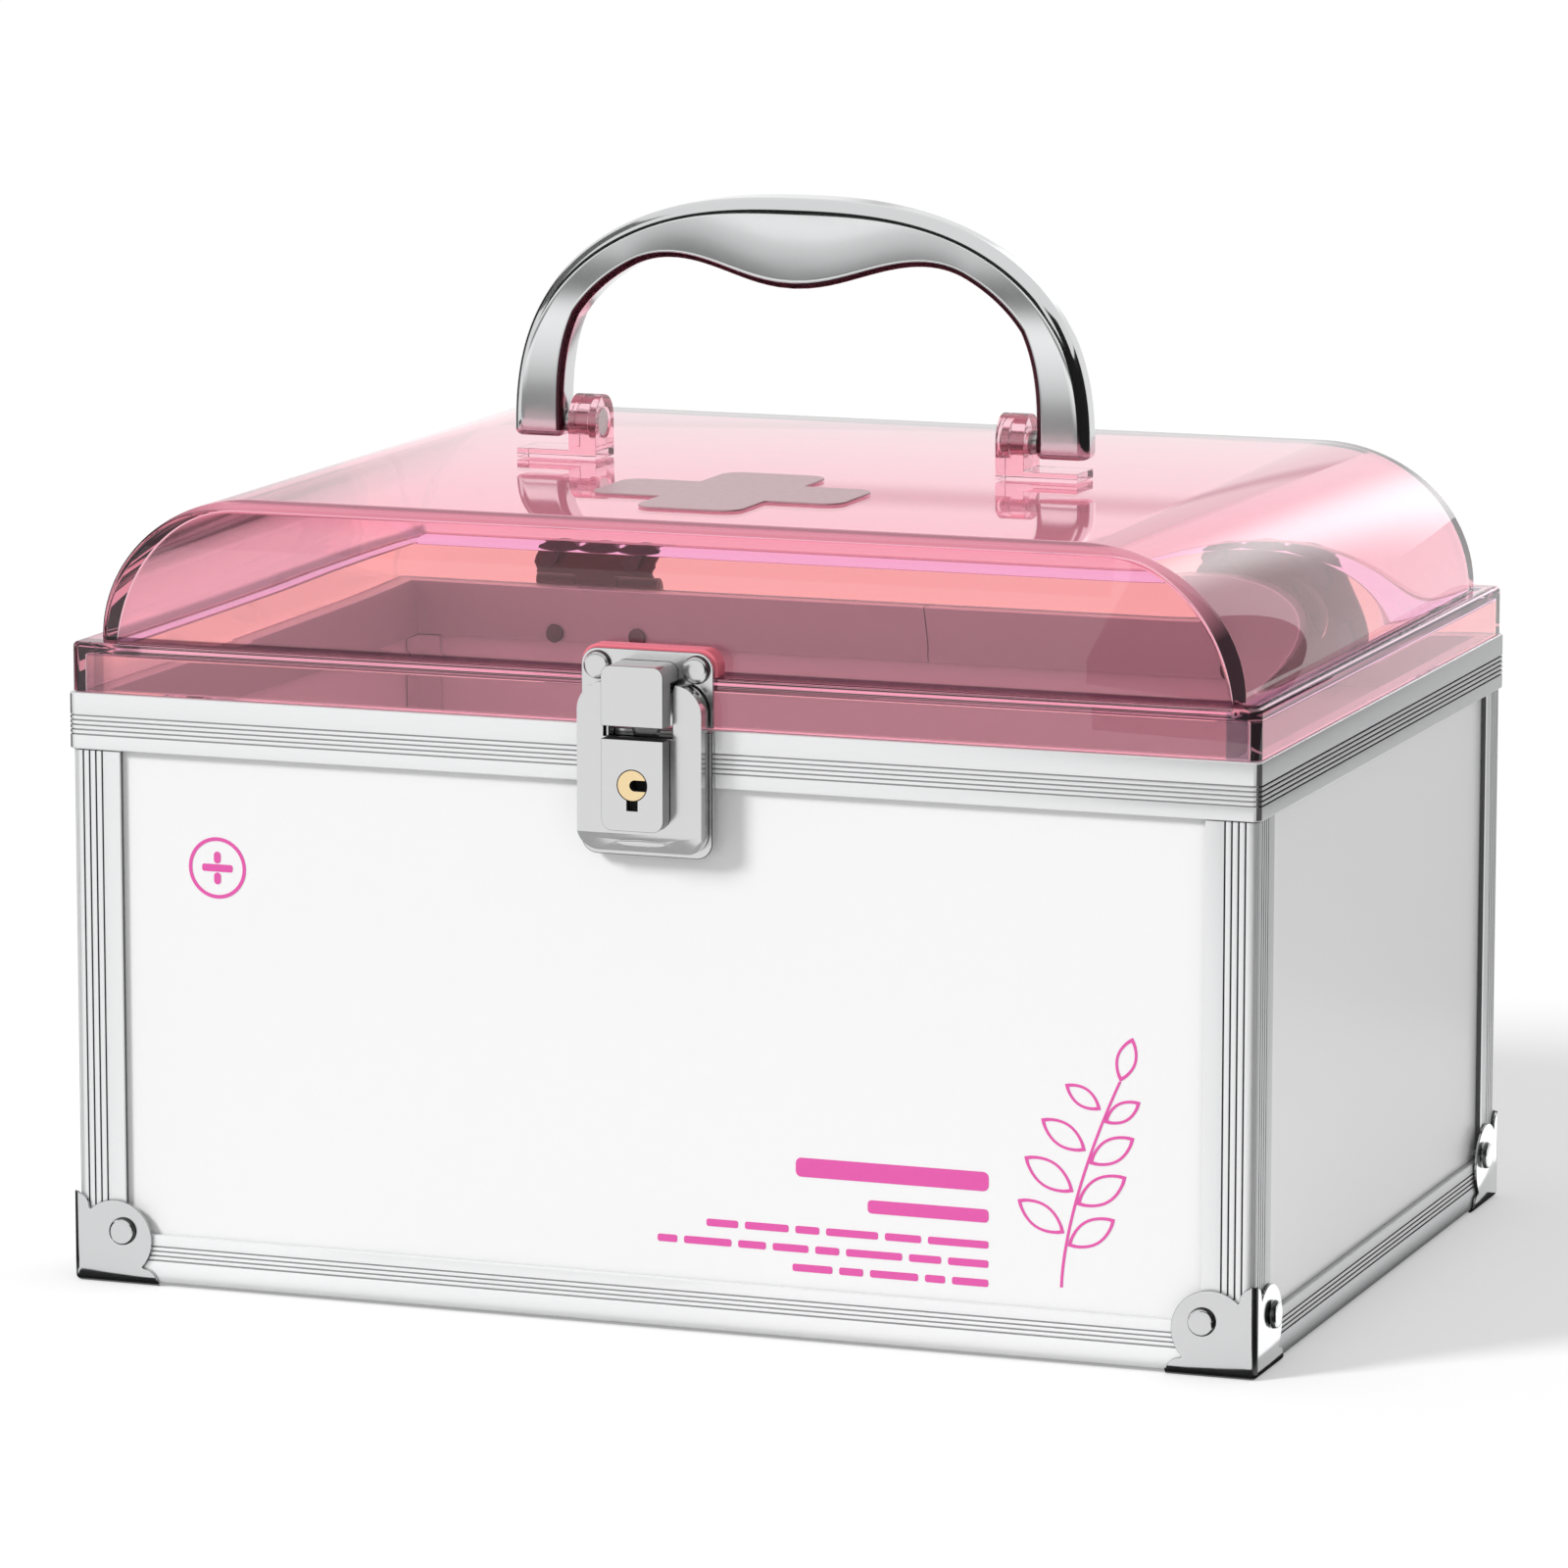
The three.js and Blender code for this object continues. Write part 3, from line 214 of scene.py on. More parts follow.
def finish_of(name, color, roughness, metallic=0.0, scale=60, stretch=(1, 1, 1), drift=0.04, spread=0.25,
        bump=0.0, coat=(0.0, 0.03)):
    """A surface whose colour and roughness drift a little, as handled and worked surfaces do."""
    material, nodes = new_material(name)
    shader = nodes["Principled BSDF"]
    place = add_node(nodes, "TexCoord", {})
    drawn = add_node(nodes, "Mapping", {"Scale": stretch, "Vector": place.outputs["Object"]})
    noise = add_node(nodes, "TexNoise", {"Scale": scale, "Detail": 4, "Vector": drawn.outputs["Vector"]})
    grain = noise.outputs["Fac"]
    worn = [channel * (1 - drift) for channel in color]
    tone = add_node(nodes, "Mix", {"A": (*worn, 1), "B": (*color, 1), "Factor": grain}, data_type="RGBA")
    rough = add_node(nodes, "MapRange",
        {"Value": grain, "To Min": roughness * (1 - spread), "To Max": roughness * (1 + spread)})
    wire(shader, {"Metallic": metallic, "Coat Weight": coat[0], "Coat Roughness": coat[1],
        "Base Color": tone.outputs["Result"], "Roughness": rough.outputs["Result"]})
    if bump:
        relief = add_node(nodes, "Bump", {"Strength": bump, "Distance": BUMP_DEEP, "Height": grain})
        wire(shader, {"Normal": relief.outputs["Normal"]})
    return material


def retone(piece, material, picked):
    """Give some faces a material of their own, picked by their middle, in millimetres, and their normal.
    Every use here paints shade or light onto those faces.
    """
    piece.data.materials.append(material)
    for face in piece.data.polygons:
        if picked(face.center / MM, face.normal):
            face.material_index = len(piece.data.materials) - 1


rim_low, rim_high = span("top_rim")
MID_Y = (rim_low.y + rim_high.y) / 2
CASE_X = rim_high.x
CASE_Y = rim_high.y - MID_Y
RIM_WALL = 1.3
RIM_DEPTH = 7.8
RIM_CORNER = 2.0
RIM_INNER_CORNER = 0.4
RIM_EASE = 0.35
RIM_SEAM = 0.3
RIM_GROOVES = (5.3, 1.15, 5)
BEND_STEPS = 10
EASE_STEPS = 3
LEVEL_GRAIN = (1, 1, 14)
UPRIGHT_GRAIN = (14, 14, 1)
FACE_NEAR = 0.1
FACE_FAR = 1.0
SIDEWAYS = 0.8
TURNED = 0.2


def anodised(name, color, grain, roughness=0.38, metallic=0.55):
    """Clear anodised aluminium, with fine drawing lines along the extrusion."""
    return finish_of(name, color, roughness, metallic, scale=220, stretch=grain, drift=0.05)


# Painted shade: groove floors get a darker, duller colour for the shade that falls in them.
def groove_shade(name, color):
    return finish_of(name, color, 0.6, 0.2, scale=220)


def rim_section():
    """The rim's section, as (distance in from the outer face, height)."""
    top, bottom = rim_high.z, rim_low.z
    outer = arc(RIM_EASE, bottom + RIM_EASE, RIM_EASE, 270, 180, EASE_STEPS)
    outer += [(into, top - down) for down, into in reversed(groove_run(*RIM_GROOVES))]
    outer += arc(RIM_EASE, top - RIM_EASE, RIM_EASE, 180, 90, EASE_STEPS)
    inner = arc(RIM_DEPTH - RIM_EASE, top - RIM_EASE, RIM_EASE, 90, 0, EASE_STEPS)
    inner += [(RIM_DEPTH, bottom), (RIM_DEPTH - RIM_WALL, bottom)]
    inner += [(RIM_DEPTH - RIM_WALL, top - RIM_WALL), (RIM_WALL, top - RIM_WALL), (RIM_WALL, bottom)]
    return outer + inner


def bent_rim():
    section = rim_section()
    rings = [[(RIM_SEAM / 2, rim_high.y - into, z) for into, z in section]]
    for start, sx, sy in ((90, 1, 1), (0, 1, -1), (-90, -1, -1), (-180, -1, 1)):
        for step in range(BEND_STEPS + 1):
            turn = math.radians(start - 90 * step / BEND_STEPS)
            ring = []
            for into, z in section:
                radius = RIM_CORNER + (RIM_INNER_CORNER - RIM_CORNER) * into / RIM_DEPTH
                x = sx * (CASE_X - into - radius) + radius * math.cos(turn)
                y = MID_Y + sy * (CASE_Y - into - radius) + radius * math.sin(turn)
                ring.append((x, y, z))
            rings.append(ring)
    rings.append([(-RIM_SEAM / 2, rim_high.y - into, z) for into, z in section])
    return loft(rings)


def rim_depth(spot):
    """How far a spot lies in from the rim's outer faces."""
    return min(CASE_X - abs(spot.x), CASE_Y - abs(spot.y - MID_Y))


def in_rim_groove(spot):
    return FACE_NEAR < rim_depth(spot) < FACE_FAR and rim_low.z + FACE_FAR < spot.z < rim_high.z - FACE_FAR


def on_rim_side(spot):
    return CASE_X - abs(spot.x) < FACE_FAR


bright_rim = anodised("anodised rim", (0.86, 0.865, 0.87), LEVEL_GRAIN)
# Painted shade: faces that look to either side get this darker copy of the anodised colour.
side_face_shade = anodised("anodised sides painted shade", (0.47, 0.475, 0.48), LEVEL_GRAIN)
# Painted shade: the rim's inner wall, seen through the lid, gets a darker, duller copy.
rim_inside_shade = anodised("rim inside painted shade", (0.68, 0.685, 0.69), LEVEL_GRAIN, 0.5, 0.4)
rim_shade = groove_shade("rim groove shade", (0.66, 0.66, 0.665))
side_shade = groove_shade("side groove shade", (0.12, 0.12, 0.122))
# Painted shade: the rim's rounded corners, between its front and side faces, get a darker colour.
corner_shade = finish_of("rim corners painted shade", (0.60, 0.60, 0.605), 0.5, scale=300)
rim_piece = placed("rim_extrusion", bent_rim(), bright_rim, "box", ["top_rim"], crease=50)
retone(rim_piece, side_face_shade, lambda spot, normal: abs(normal.x) > SIDEWAYS and on_rim_side(spot))
retone(rim_piece, rim_shade, lambda spot, normal: in_rim_groove(spot))
retone(rim_piece, corner_shade, lambda spot, normal: min(abs(normal.x), abs(normal.y)) > TURNED)
retone(rim_piece, side_shade, lambda spot, normal: in_rim_groove(spot) and on_rim_side(spot))
retone(rim_piece, rim_inside_shade, lambda spot, normal: rim_depth(spot) > RIM_DEPTH - FACE_NEAR)

# Corner posts and bottom rails: corner extrusions of the same aluminium, sawn square. Four grooves
# run along a post's two outer faces and along a rail's upright one, and the panels slide into the
# slots in their legs.
POST_WIDTH = 12.9
RAIL_WIDTH = 11.8
LEG_WALL = 1.3
SLOT_FAR = 5.9
LEG_DEPTH = 7.2
POST_CORNER = 2.5
POST_GROOVES = (2.85, 1.65, 4)
RAIL_GROOVES = (5.2, 1.15, 4)
LEG_EASE = 0.25

bright_post = anodised("anodised posts", (0.86, 0.865, 0.87), UPRIGHT_GRAIN)
# Painted light: the front and back rails get a lighter colour than the posts, to make up the light they lose
# low by the floor.
rail_painted_lighter = anodised("anodised rails painted lighter", (0.93, 0.935, 0.94), LEVEL_GRAIN, metallic=0.5)


def leg_outline(width, corner, run, both):
    """A corner section with its outer corner at the origin and its legs along +a and +b."""
    first = run + [(width - LEG_EASE, 0), (width, LEG_EASE), (width, LEG_WALL), (LEG_DEPTH, LEG_WALL)]
    first += [(LEG_DEPTH, SLOT_FAR), (width, SLOT_FAR), (width, LEG_DEPTH)]
    second = [(LEG_DEPTH, width), (SLOT_FAR, width), (SLOT_FAR, LEG_DEPTH), (LEG_WALL, LEG_DEPTH)]
    second += [(LEG_WALL, width), (LEG_EASE, width), (0, width - LEG_EASE)]
    if both:
        second += [(into, along) for along, into in reversed(run)]
    return first + [(LEG_DEPTH, LEG_DEPTH)] + second + arc(corner, corner, corner, 180, 270, 10)


def on_shaded_leg(a, b):
    """True in a post's grooves and on its slot side, for distances in from its two outer faces. Both get
    painted shade: the groove floors and the dark line where the post meets the panel.
    """
    into, along = min(a, b), max(a, b)
    in_groove = into > FACE_NEAR and POST_CORNER < along < POST_WIDTH - FACE_FAR
    return into < FACE_FAR and (in_groove or along > POST_WIDTH - FACE_NEAR)


post_shade = groove_shade("post groove shade", (0.10, 0.10, 0.102))
post_outline = leg_outline(POST_WIDTH, POST_CORNER, groove_run(*POST_GROOVES), True)
for side, sx in (("left", -1), ("right", 1)):
    for end, sy in (("front", -1), ("back", 1)):
        node = f"corner_post_{end}_{side}"
        low, high = span(node)
        corner_x = high.x if sx > 0 else low.x
        corner_y = high.y if sy > 0 else low.y
        outline = [(corner_x - sx * a, corner_y - sy * b) for a, b in post_outline]
        mesh = prism(outline, "z", low.z, high.z)
        post = placed(f"post_{end}_{side}", mesh, bright_post, "box", [node])
        # Painted shade on the post's side faces, groove floors and slot side.
        retone(post, side_face_shade,
            lambda spot, normal: abs(normal.x) > SIDEWAYS and abs(corner_x - spot.x) < FACE_FAR)
        retone(post, post_shade,
            lambda spot, normal: on_shaded_leg(abs(corner_x - spot.x), abs(corner_y - spot.y)))

rail_outline = leg_outline(RAIL_WIDTH, LEG_EASE, groove_run(*RAIL_GROOVES), False)
for name, axis, sign in (("front", "x", -1), ("back", "x", 1), ("left", "y", -1), ("right", "y", 1)):
    node = f"bottom_rail_{name}"
    low, high = span(node)
    index = 1 if axis == "x" else 0
    face = high[index] if sign > 0 else low[index]
    outline = [(face - sign * b, low.z + a) for a, b in rail_outline]
    mesh = prism(outline, axis, low[1 - index], high[1 - index])
    # Painted shade and light: the side rails take the darker side colour, every rail a darker groove floor,
    # and the front and back rails the lighter colour.
    rail = placed(f"rail_{name}", mesh, rail_painted_lighter if index else side_face_shade, "box", [node])
    retone(rail, rim_shade if index else side_shade,
        lambda spot, normal: FACE_NEAR < abs(face - spot[index]) < FACE_FAR
        and low.z + FACE_FAR < spot.z < high.z - FACE_FAR)

# Panels: white laminated sheet, cut square, with a faintly pebbled face. The CAD solids have the
# right shape and keep it, so they only get their finish.
laminate = finish_of("white laminate", (0.9, 0.9, 0.9), 0.42, scale=900, drift=0.015, bump=0.05,
    coat=(0.25, 0.2))
for name in ("front", "back", "left", "right", "bottom"):
    panel = frame["nodes"][f"{name}_panel"]
    panel.data.materials.clear()
    panel.data.materials.append(laminate)

# Print: a screen-printed design in magenta ink on the front panel. It has a ring with a plus, a
# leafy twig, two bars and rows of dashes, each stroke a thin layer of ink.
INK_THICK = 0.05
INK_PROUD = 0.03
STEM_WIDTH = 0.7
STEM_FOOT = (102.0, 18.0)
STEM_LEAN = 14.0
STEM_RISE = 50.0
STEM_BEND = 1.6
STEM_STEPS = 20
LEAF_LONG = 13.0
LEAF_WIDE = 6.0
LEAF_STROKE = 0.65
LEAF_TIP = 1.8
LEAF_BOW = 0.8
LEAF_STEPS = 12
LEAF_TURN = 32
LEAF_ASIDE = 0.4
LEAF_STAGGER = 3.0
LEAF_PAIRS = ((4, 1.05), (8, 1.1), (12, 1.0), (16, 0.8))
TOP_LEAF_TURN = 74
TOP_LEAF_SIZE = 0.85
DASH_ROUND_SHARE = 0.3
LINES_END = 84.0
BARS = ((36.0, 39.5, 4.6), (54.0, 32.0, 3.2))
DASH_HEIGHT = 1.8
DASH_GAP = 1.7
DASH_ROWS = (
    (25.8, (8, 11, 6, 13, 9, 15)),
    (21.2, (5, 12, 7, 9, 6, 14, 8, 10)),
    (16.6, (10, 6, 12, 5, 9)),
)
RING_X = -112.0
RING_Z = 104.0
RING_RADII = (7.5, 6.6)
PLUS_HALF = 4.0
PLUS_BAR_HALF = 0.9
PLUS_GAP = 0.2

ink = finish_of("magenta ink", (0.78, 0.10, 0.41), 0.45, scale=600, drift=0.06)
ink_face = span("front_panel")[0].y - INK_PROUD
printed = []


def rounded(a0, a1, b0, b1, radii, steps=8):
    """A rectangle with a radius at each corner: low left, low right, high right, high left."""
    corners = ((a0, b0, 1, 1, 180), (a1, b0, -1, 1, 270), (a1, b1, -1, -1, 0), (a0, b1, 1, -1, 90))
    points = []
    for (a, b, toward_a, toward_b, start), radius in zip(corners, radii):
        if radius > 0:
            points += arc(a + toward_a * radius, b + toward_b * radius, radius, start, start + 90, steps)
        else:
            points.append((a, b))
    return points


def inked(outline):
    printed.append(prism(outline, "y", ink_face - INK_THICK, ink_face))


def dash(x0, x1, z0, z1):
    inked(rounded(x0, x1, z0, z1, [(z1 - z0) * DASH_ROUND_SHARE] * 4, 4))


def leaf_line(inset):
    """Half-way round a leaf and back: two bowed edges that meet in points."""
    points = []
    for side in (1, -1):
        for i in range(LEAF_STEPS):
            share = i / LEAF_STEPS if side > 0 else 1 - i / LEAF_STEPS
            bow = (LEAF_WIDE / 2 - inset) * math.sin(math.pi * share) ** LEAF_BOW
            points.append((inset * LEAF_TIP + share * (LEAF_LONG - 2 * inset * LEAF_TIP), side * bow))
    return points


def inked_leaf(x, z, degrees, size):
    c, n = size * math.cos(math.radians(degrees)), size * math.sin(math.radians(degrees))
    rings = []
    for inset, back in ((0, 0), (0, INK_THICK), (LEAF_STROKE / size, INK_THICK), (LEAF_STROKE / size, 0)):
        rings.append([(x + a * c - b * n, ink_face - back, z + a * n + b * c) for a, b in leaf_line(inset)])
    printed.append(loft(rings, closed=True))


for start, foot, tall in BARS:
    dash(start, LINES_END, foot, foot + tall)
for z, lengths in DASH_ROWS:
    start = LINES_END - sum(lengths) - DASH_GAP * (len(lengths) - 1)
    for long in lengths:
        dash(start, start + long, z, z + DASH_HEIGHT)
        start += long + DASH_GAP
stem = []
for i in range(STEM_STEPS + 1):
    share = i / STEM_STEPS
    stem.append((STEM_FOOT[0] + STEM_LEAN * share ** STEM_BEND, STEM_FOOT[1] + STEM_RISE * share))
inked([(x - STEM_WIDTH / 2, z) for x, z in stem] + [(x + STEM_WIDTH / 2, z) for x, z in reversed(stem)])
for step, size in LEAF_PAIRS:
    x, z = stem[step]
    inked_leaf(x + LEAF_ASIDE, z, LEAF_TURN, size)
    inked_leaf(x - LEAF_ASIDE, z + LEAF_STAGGER, 180 - LEAF_TURN, size)
inked_leaf(*stem[STEM_STEPS], TOP_LEAF_TURN, TOP_LEAF_SIZE)
outer, inner = (rounded(RING_X - a, RING_X + a, RING_Z - a, RING_Z + a, [a] * 4, 10) for a in RING_RADII)
printed.append(loft([ring_at(outer, "y", ink_face), ring_at(outer, "y", ink_face - INK_THICK),
    ring_at(inner, "y", ink_face - INK_THICK), ring_at(inner, "y", ink_face)], closed=True))
dash(RING_X - PLUS_HALF, RING_X + PLUS_HALF, RING_Z - PLUS_BAR_HALF, RING_Z + PLUS_BAR_HALF)
dash(RING_X - PLUS_BAR_HALF, RING_X + PLUS_BAR_HALF, RING_Z + PLUS_BAR_HALF + PLUS_GAP, RING_Z + PLUS_HALF)
dash(RING_X - PLUS_BAR_HALF, RING_X + PLUS_BAR_HALF, RING_Z - PLUS_HALF, RING_Z - PLUS_BAR_HALF - PLUS_GAP)
for number, mesh in enumerate(printed):
    placed(f"print_{number:02d}", mesh, ink, "box")

# Lid: injection-moulded clear pink styrene, one shell of an upright flange, a ledge and a dome
# with round shoulders, all with eased edges. A lug in front backs the latch's strike.
LID_WALL = 3.0
FLANGE_RISE = 11.9
FLANGE_CORNER = 2.5
FLANGE_EDGE = 1.3
DOME_INSET = 5.5
SHOULDER_WIDTH = 40.0
SHOULDER_RISE = 35.0
INNER_SHOULDER_WIDTH = 32.1
INNER_SHOULDER_RISE = 38.5
DOME_EDGE = 2.0
INNER_EDGE = 0.8
MOUTH_ROUND = 1.6
LUG_WIDTH = 34.0
LUG_RISE = 6.7
LUG_CORNER = 4.0
LUG_GAP = 0.05
LUG_SET_BACK = 0.02
DOME_STEPS = 40
EDGE_STEPS = 6
LEAST_CORNER = 0.2

lid_low, lid_high = span("lid_shell")
FLANGE_X = lid_high.x
FLANGE_Y = lid_high.y - MID_Y
LEDGE_TOP = lid_low.z + FLANGE_RISE
DOME_X = FLANGE_X - DOME_INSET
DOME_Y = FLANGE_Y - DOME_INSET


def carved(base, *steps):
    """A mesh joined with, cut by or kept inside other meshes, in that order."""
    scene = bpy.context.scene.collection.objects
    block = bpy.data.objects.new("blank", base)
    scene.link(block)
    tools = []
    for how, mesh in steps:
        tool = bpy.data.objects.new("tool", mesh)
        scene.link(tool)
        tools.append(tool)
        change = block.modifiers.new(how, "BOOLEAN")
        change.operation = how
        change.solver = "EXACT"
        change.object = tool
    graph = bpy.context.evaluated_depsgraph_get()
    result = bpy.data.meshes.new_from_object(block.evaluated_get(graph))
    for thing in [block] + tools:
        bpy.data.objects.remove(thing)
    return result


def dome_outline(half, foot, top, width, rise):
    """Half a dome's section, mirrored: a flat top between quarter ellipses, over upright sides."""
    spring = top - rise
    right = [(half, foot), (half, (foot + spring) / 2)]
    for i in range(DOME_STEPS + 1):
        turn = math.pi / 2 * i / DOME_STEPS
        right.append((half - width + width * math.cos(turn), spring + rise * math.sin(turn)))
    return right + [(-x, z) for x, z in reversed(right)]


def drawn_in(outline, inset):
    """An outline moved inwards, square to itself, except along its open foot."""
    moved = []
    last = len(outline) - 1
    for i, (x, z) in enumerate(outline):
        before, after = outline[max(i - 1, 0)], outline[min(i + 1, last)]
        run = Vector((after[0] - before[0], after[1] - before[1])).normalized()
        moved.append((x - run.y * inset, z + run.x * inset))
    moved[0] = (moved[0][0], outline[0][1])
    moved[last] = (moved[last][0], outline[last][1])
    return moved


def dome_body(half_x, half_y, foot, top, width, rise, edge):
    outline = dome_outline(half_x, foot, top, width, rise)
    rings = []
    for side in (-1, 1):
        turns = [math.pi / 2 * i / EDGE_STEPS for i in range(EDGE_STEPS + 1)]
        for turn in turns if side < 0 else reversed(turns):
            inset = edge * (1 - math.sin(turn))
            place = half_y - edge * (1 - math.cos(turn))
            rings.append(ring_at(drawn_in(outline, inset), "y", MID_Y + side * place))
    return loft(rings)


def flange_body(half_x, half_y, corner, bottom, top, edge):
    rings = [(0, bottom)]
    for i in range(EDGE_STEPS + 1):
        turn = math.pi / 2 * i / EDGE_STEPS
        rings.append((edge * (1 - math.cos(turn)), top - edge + edge * math.sin(turn)))
    made = []
    for inset, z in rings:
        x, y = half_x - inset, half_y - inset
        radius = max(corner - inset, LEAST_CORNER)
        made.append(ring_at(rounded(-x, x, MID_Y - y, MID_Y + y, [radius] * 4), "z", z))
    return loft(made)


def bar(axis, start, end, a, b, radius, steps=24):
    """A round bar along an axis, centred at (a, b) on the other two."""
    return prism(arc(a, b, radius, 0, 360, steps)[:-1], axis, start, end)


LID_TINT = (1.0, 0.645, 0.72)
DEEP_TINT = (1.0, 0.40, 0.55)
DEEP_DENSITY = 5
STYRENE_INDEX = 1.49
TRAPPED_BOUNCES = 2.5
# Painted glow: the colours that stand in for light lost inside the lid's walls.
UPRIGHT_GLOW = (0.045, 0.035, 0.04)
LYING_GLOW = (0.76, 0.42, 0.49)
UPRIGHT_UNDER = 0.45
LYING_OVER = 0.95


def clear_pink(name):
    """Clear styrene, coloured at its skin and through its depth. Where light has bounced inside a wall more
    than a few times, a glow is painted in its place, pink on flat walls and dark on upright ones."""
    material, nodes = new_material(name)
    shader = nodes["Principled BSDF"]
    wire(shader, {"Base Color": (*LID_TINT, 1), "Transmission Weight": 1, "IOR": STYRENE_INDEX,
        "Roughness": 0})
    body = add_node(nodes, "VolumeAbsorption", {"Color": (*DEEP_TINT, 1), "Density": DEEP_DENSITY})
    path = add_node(nodes, "LightPath", {})
    trapped = add_node(nodes, "Math", {0: path.outputs["Glossy Depth"], 1: TRAPPED_BOUNCES},
        operation="GREATER_THAN")
    facing = add_node(nodes, "NewGeometry", {})
    split = add_node(nodes, "SeparateXYZ", {"Vector": facing.outputs["Normal"]})
    lying = add_node(nodes, "Math", {0: split.outputs["Z"]}, operation="ABSOLUTE")
    level = add_node(nodes, "MapRange",
        {"Value": lying.outputs[0], "From Min": UPRIGHT_UNDER, "From Max": LYING_OVER})
    tone = add_node(nodes, "Mix",
        {"A": (*UPRIGHT_GLOW, 1), "B": (*LYING_GLOW, 1), "Factor": level.outputs["Result"]},
        data_type="RGBA")
    glow = add_node(nodes, "Emission", {"Color": tone.outputs["Result"]})
    mixed = add_node(nodes, "MixShader",
        {"Fac": trapped.outputs[0], 1: shader.outputs["BSDF"], 2: glow.outputs["Emission"]})
    wire(nodes["Material Output"], {"Volume": body.outputs["Volume"], "Surface": mixed.outputs["Shader"]})
    return material


pink = clear_pink("clear pink styrene")

lug_outline = rounded(-LUG_WIDTH / 2, LUG_WIDTH / 2, LEDGE_TOP + LUG_GAP, LEDGE_TOP + LUG_RISE,
    [0, 0, LUG_CORNER, LUG_CORNER])
lug = prism(lug_outline, "y", lid_low.y + LUG_SET_BACK, MID_Y - DOME_Y - LUG_GAP)
flange = flange_body(FLANGE_X, FLANGE_Y, FLANGE_CORNER, lid_low.z, LEDGE_TOP, FLANGE_EDGE)
flange_hollow = flange_body(FLANGE_X - LID_WALL, FLANGE_Y - LID_WALL, INNER_EDGE, lid_low.z - 1,
    LEDGE_TOP - LID_WALL, INNER_EDGE)
dome = dome_body(DOME_X, DOME_Y, LEDGE_TOP - LID_WALL / 2, lid_high.z,
    SHOULDER_WIDTH, SHOULDER_RISE, DOME_EDGE)
dome_hollow = dome_body(DOME_X - LID_WALL, DOME_Y - LID_WALL, lid_low.z - 2, lid_high.z - LID_WALL,
    INNER_SHOULDER_WIDTH, INNER_SHOULDER_RISE, INNER_EDGE)
mouth = []
for step in range(EDGE_STEPS + 1):
    turn = math.pi / 2 * step / EDGE_STEPS
    outset = MOUTH_ROUND * (1 - math.cos(turn))
    height = LEDGE_TOP - LID_WALL + MOUTH_ROUND * (1 - math.sin(turn))
    x, y = DOME_X - LID_WALL + outset, DOME_Y - LID_WALL + outset
    mouth.append(ring_at(rounded(-x, x, MID_Y - y, MID_Y + y, [INNER_EDGE] * 4), "z", height))
mouth.append([(x, y, lid_low.z - 1) for x, y, z in mouth[-1]])
lid_mesh = carved(flange, ("UNION", dome), ("DIFFERENCE", flange_hollow), ("DIFFERENCE", dome_hollow),
    ("DIFFERENCE", loft(mouth)))


def tint_zones(material, zones):
    """Where the lid's colour is painted away from its own tint, mostly as painted shade and painted dark
    lines. Each zone is a tint, the softness of its border, and the box it fills, in millimetres: x and y
    from the lid's middle, either_x on both sides alike."""
    nodes = material.node_tree.nodes
    place = add_node(nodes, "TexCoord", {})
    x, y, z = add_node(nodes, "SeparateXYZ", {"Vector": place.outputs["Object"]}).outputs
    from_middle = add_node(nodes, "Math", {0: y, 1: MID_Y * MM}, operation="SUBTRACT")
    either = add_node(nodes, "Math", {0: x}, operation="ABSOLUTE")
    places = {"x": x, "y": from_middle.outputs[0], "z": z, "either_x": either.outputs[0]}
    mixed = (*LID_TINT, 1)
    for tint, soft, limits in zones:
        inside = 1.0
        for name, (low, high) in limits.items():
            for start, end in ((low - soft, low + soft), (high + soft, high - soft)):
                ramp = add_node(nodes, "MapRange",
                    {"Value": places[name], "From Min": start * MM, "From Max": end * MM})
                part = add_node(nodes, "Math", {0: ramp.outputs["Result"], 1: inside}, operation="MULTIPLY")
                inside = part.outputs[0]
        step = add_node(nodes, "Mix", {"A": mixed, "B": (*tint, 1), "Factor": inside}, data_type="RGBA")
        mixed = step.outputs["Result"]
    wire(nodes["Principled BSDF"], {"Base Color": mixed})


# Colours and spans of the lid's painted zones. The plum, smoke, grey-blue, line and foot colours are painted
# shade and painted dark lines; the warm, cool and top ones shift the hue.
FAR = 500
WARM_TINT = (1.0, 0.60, 0.55)
COOL_TINT = (1.0, 0.68, 0.95)
PLUM_SHADE = (0.40, 0.27, 0.33)
SMOKE_SHADE = (0.20, 0.15, 0.17)
LINE_SHADE = (0.30, 0.18, 0.22)
TOP_TINT = (1.0, 0.56, 0.66)
FOOT_SHADE = (0.10, 0.04, 0.06)
BLOCK_SHADE = (0.25, 0.30, 0.34)
WALL_SKIN = 0.5
FRONT_SKIN = 0.6
LEDGE_FRONT = 8.0
SHADE_LONG = 12.0
SHADE_SOFT = 9.0
DEEP_SHADE_LONG = 60.0
DEEP_SHADE_DROP = 6.0
DOME_FOOT_RISE = 2.6
BLOCK_FROM_END = (2.7, 8.0)
LINE_FROM_END = (6.2, 8.8)
TOP_DEEP = 3.0
FRONT_LINE = (1.4, 0.8)
BACK_LINE = 2.4
FOOT_LINE = (0.8, 0.9)
lid_pink = clear_pink("clear pink lid")
flange_top = LEDGE_TOP - LID_WALL
dome_top = lid_high.z
left_wall = (-FAR, WALL_SKIN - FLANGE_X + LID_WALL)
back_wall = (FLANGE_Y - LID_WALL - WALL_SKIN, FAR)
front_face = (-FAR, FRONT_SKIN - FLANGE_Y)
under_ledge = (-FAR, flange_top)
behind_front = (LEDGE_FRONT - FLANGE_Y, FAR)
right_block = (FLANGE_X - BLOCK_FROM_END[1], FLANGE_X - BLOCK_FROM_END[0])
left_block = (LINE_FROM_END[0] - FLANGE_X, LINE_FROM_END[1] - FLANGE_X)
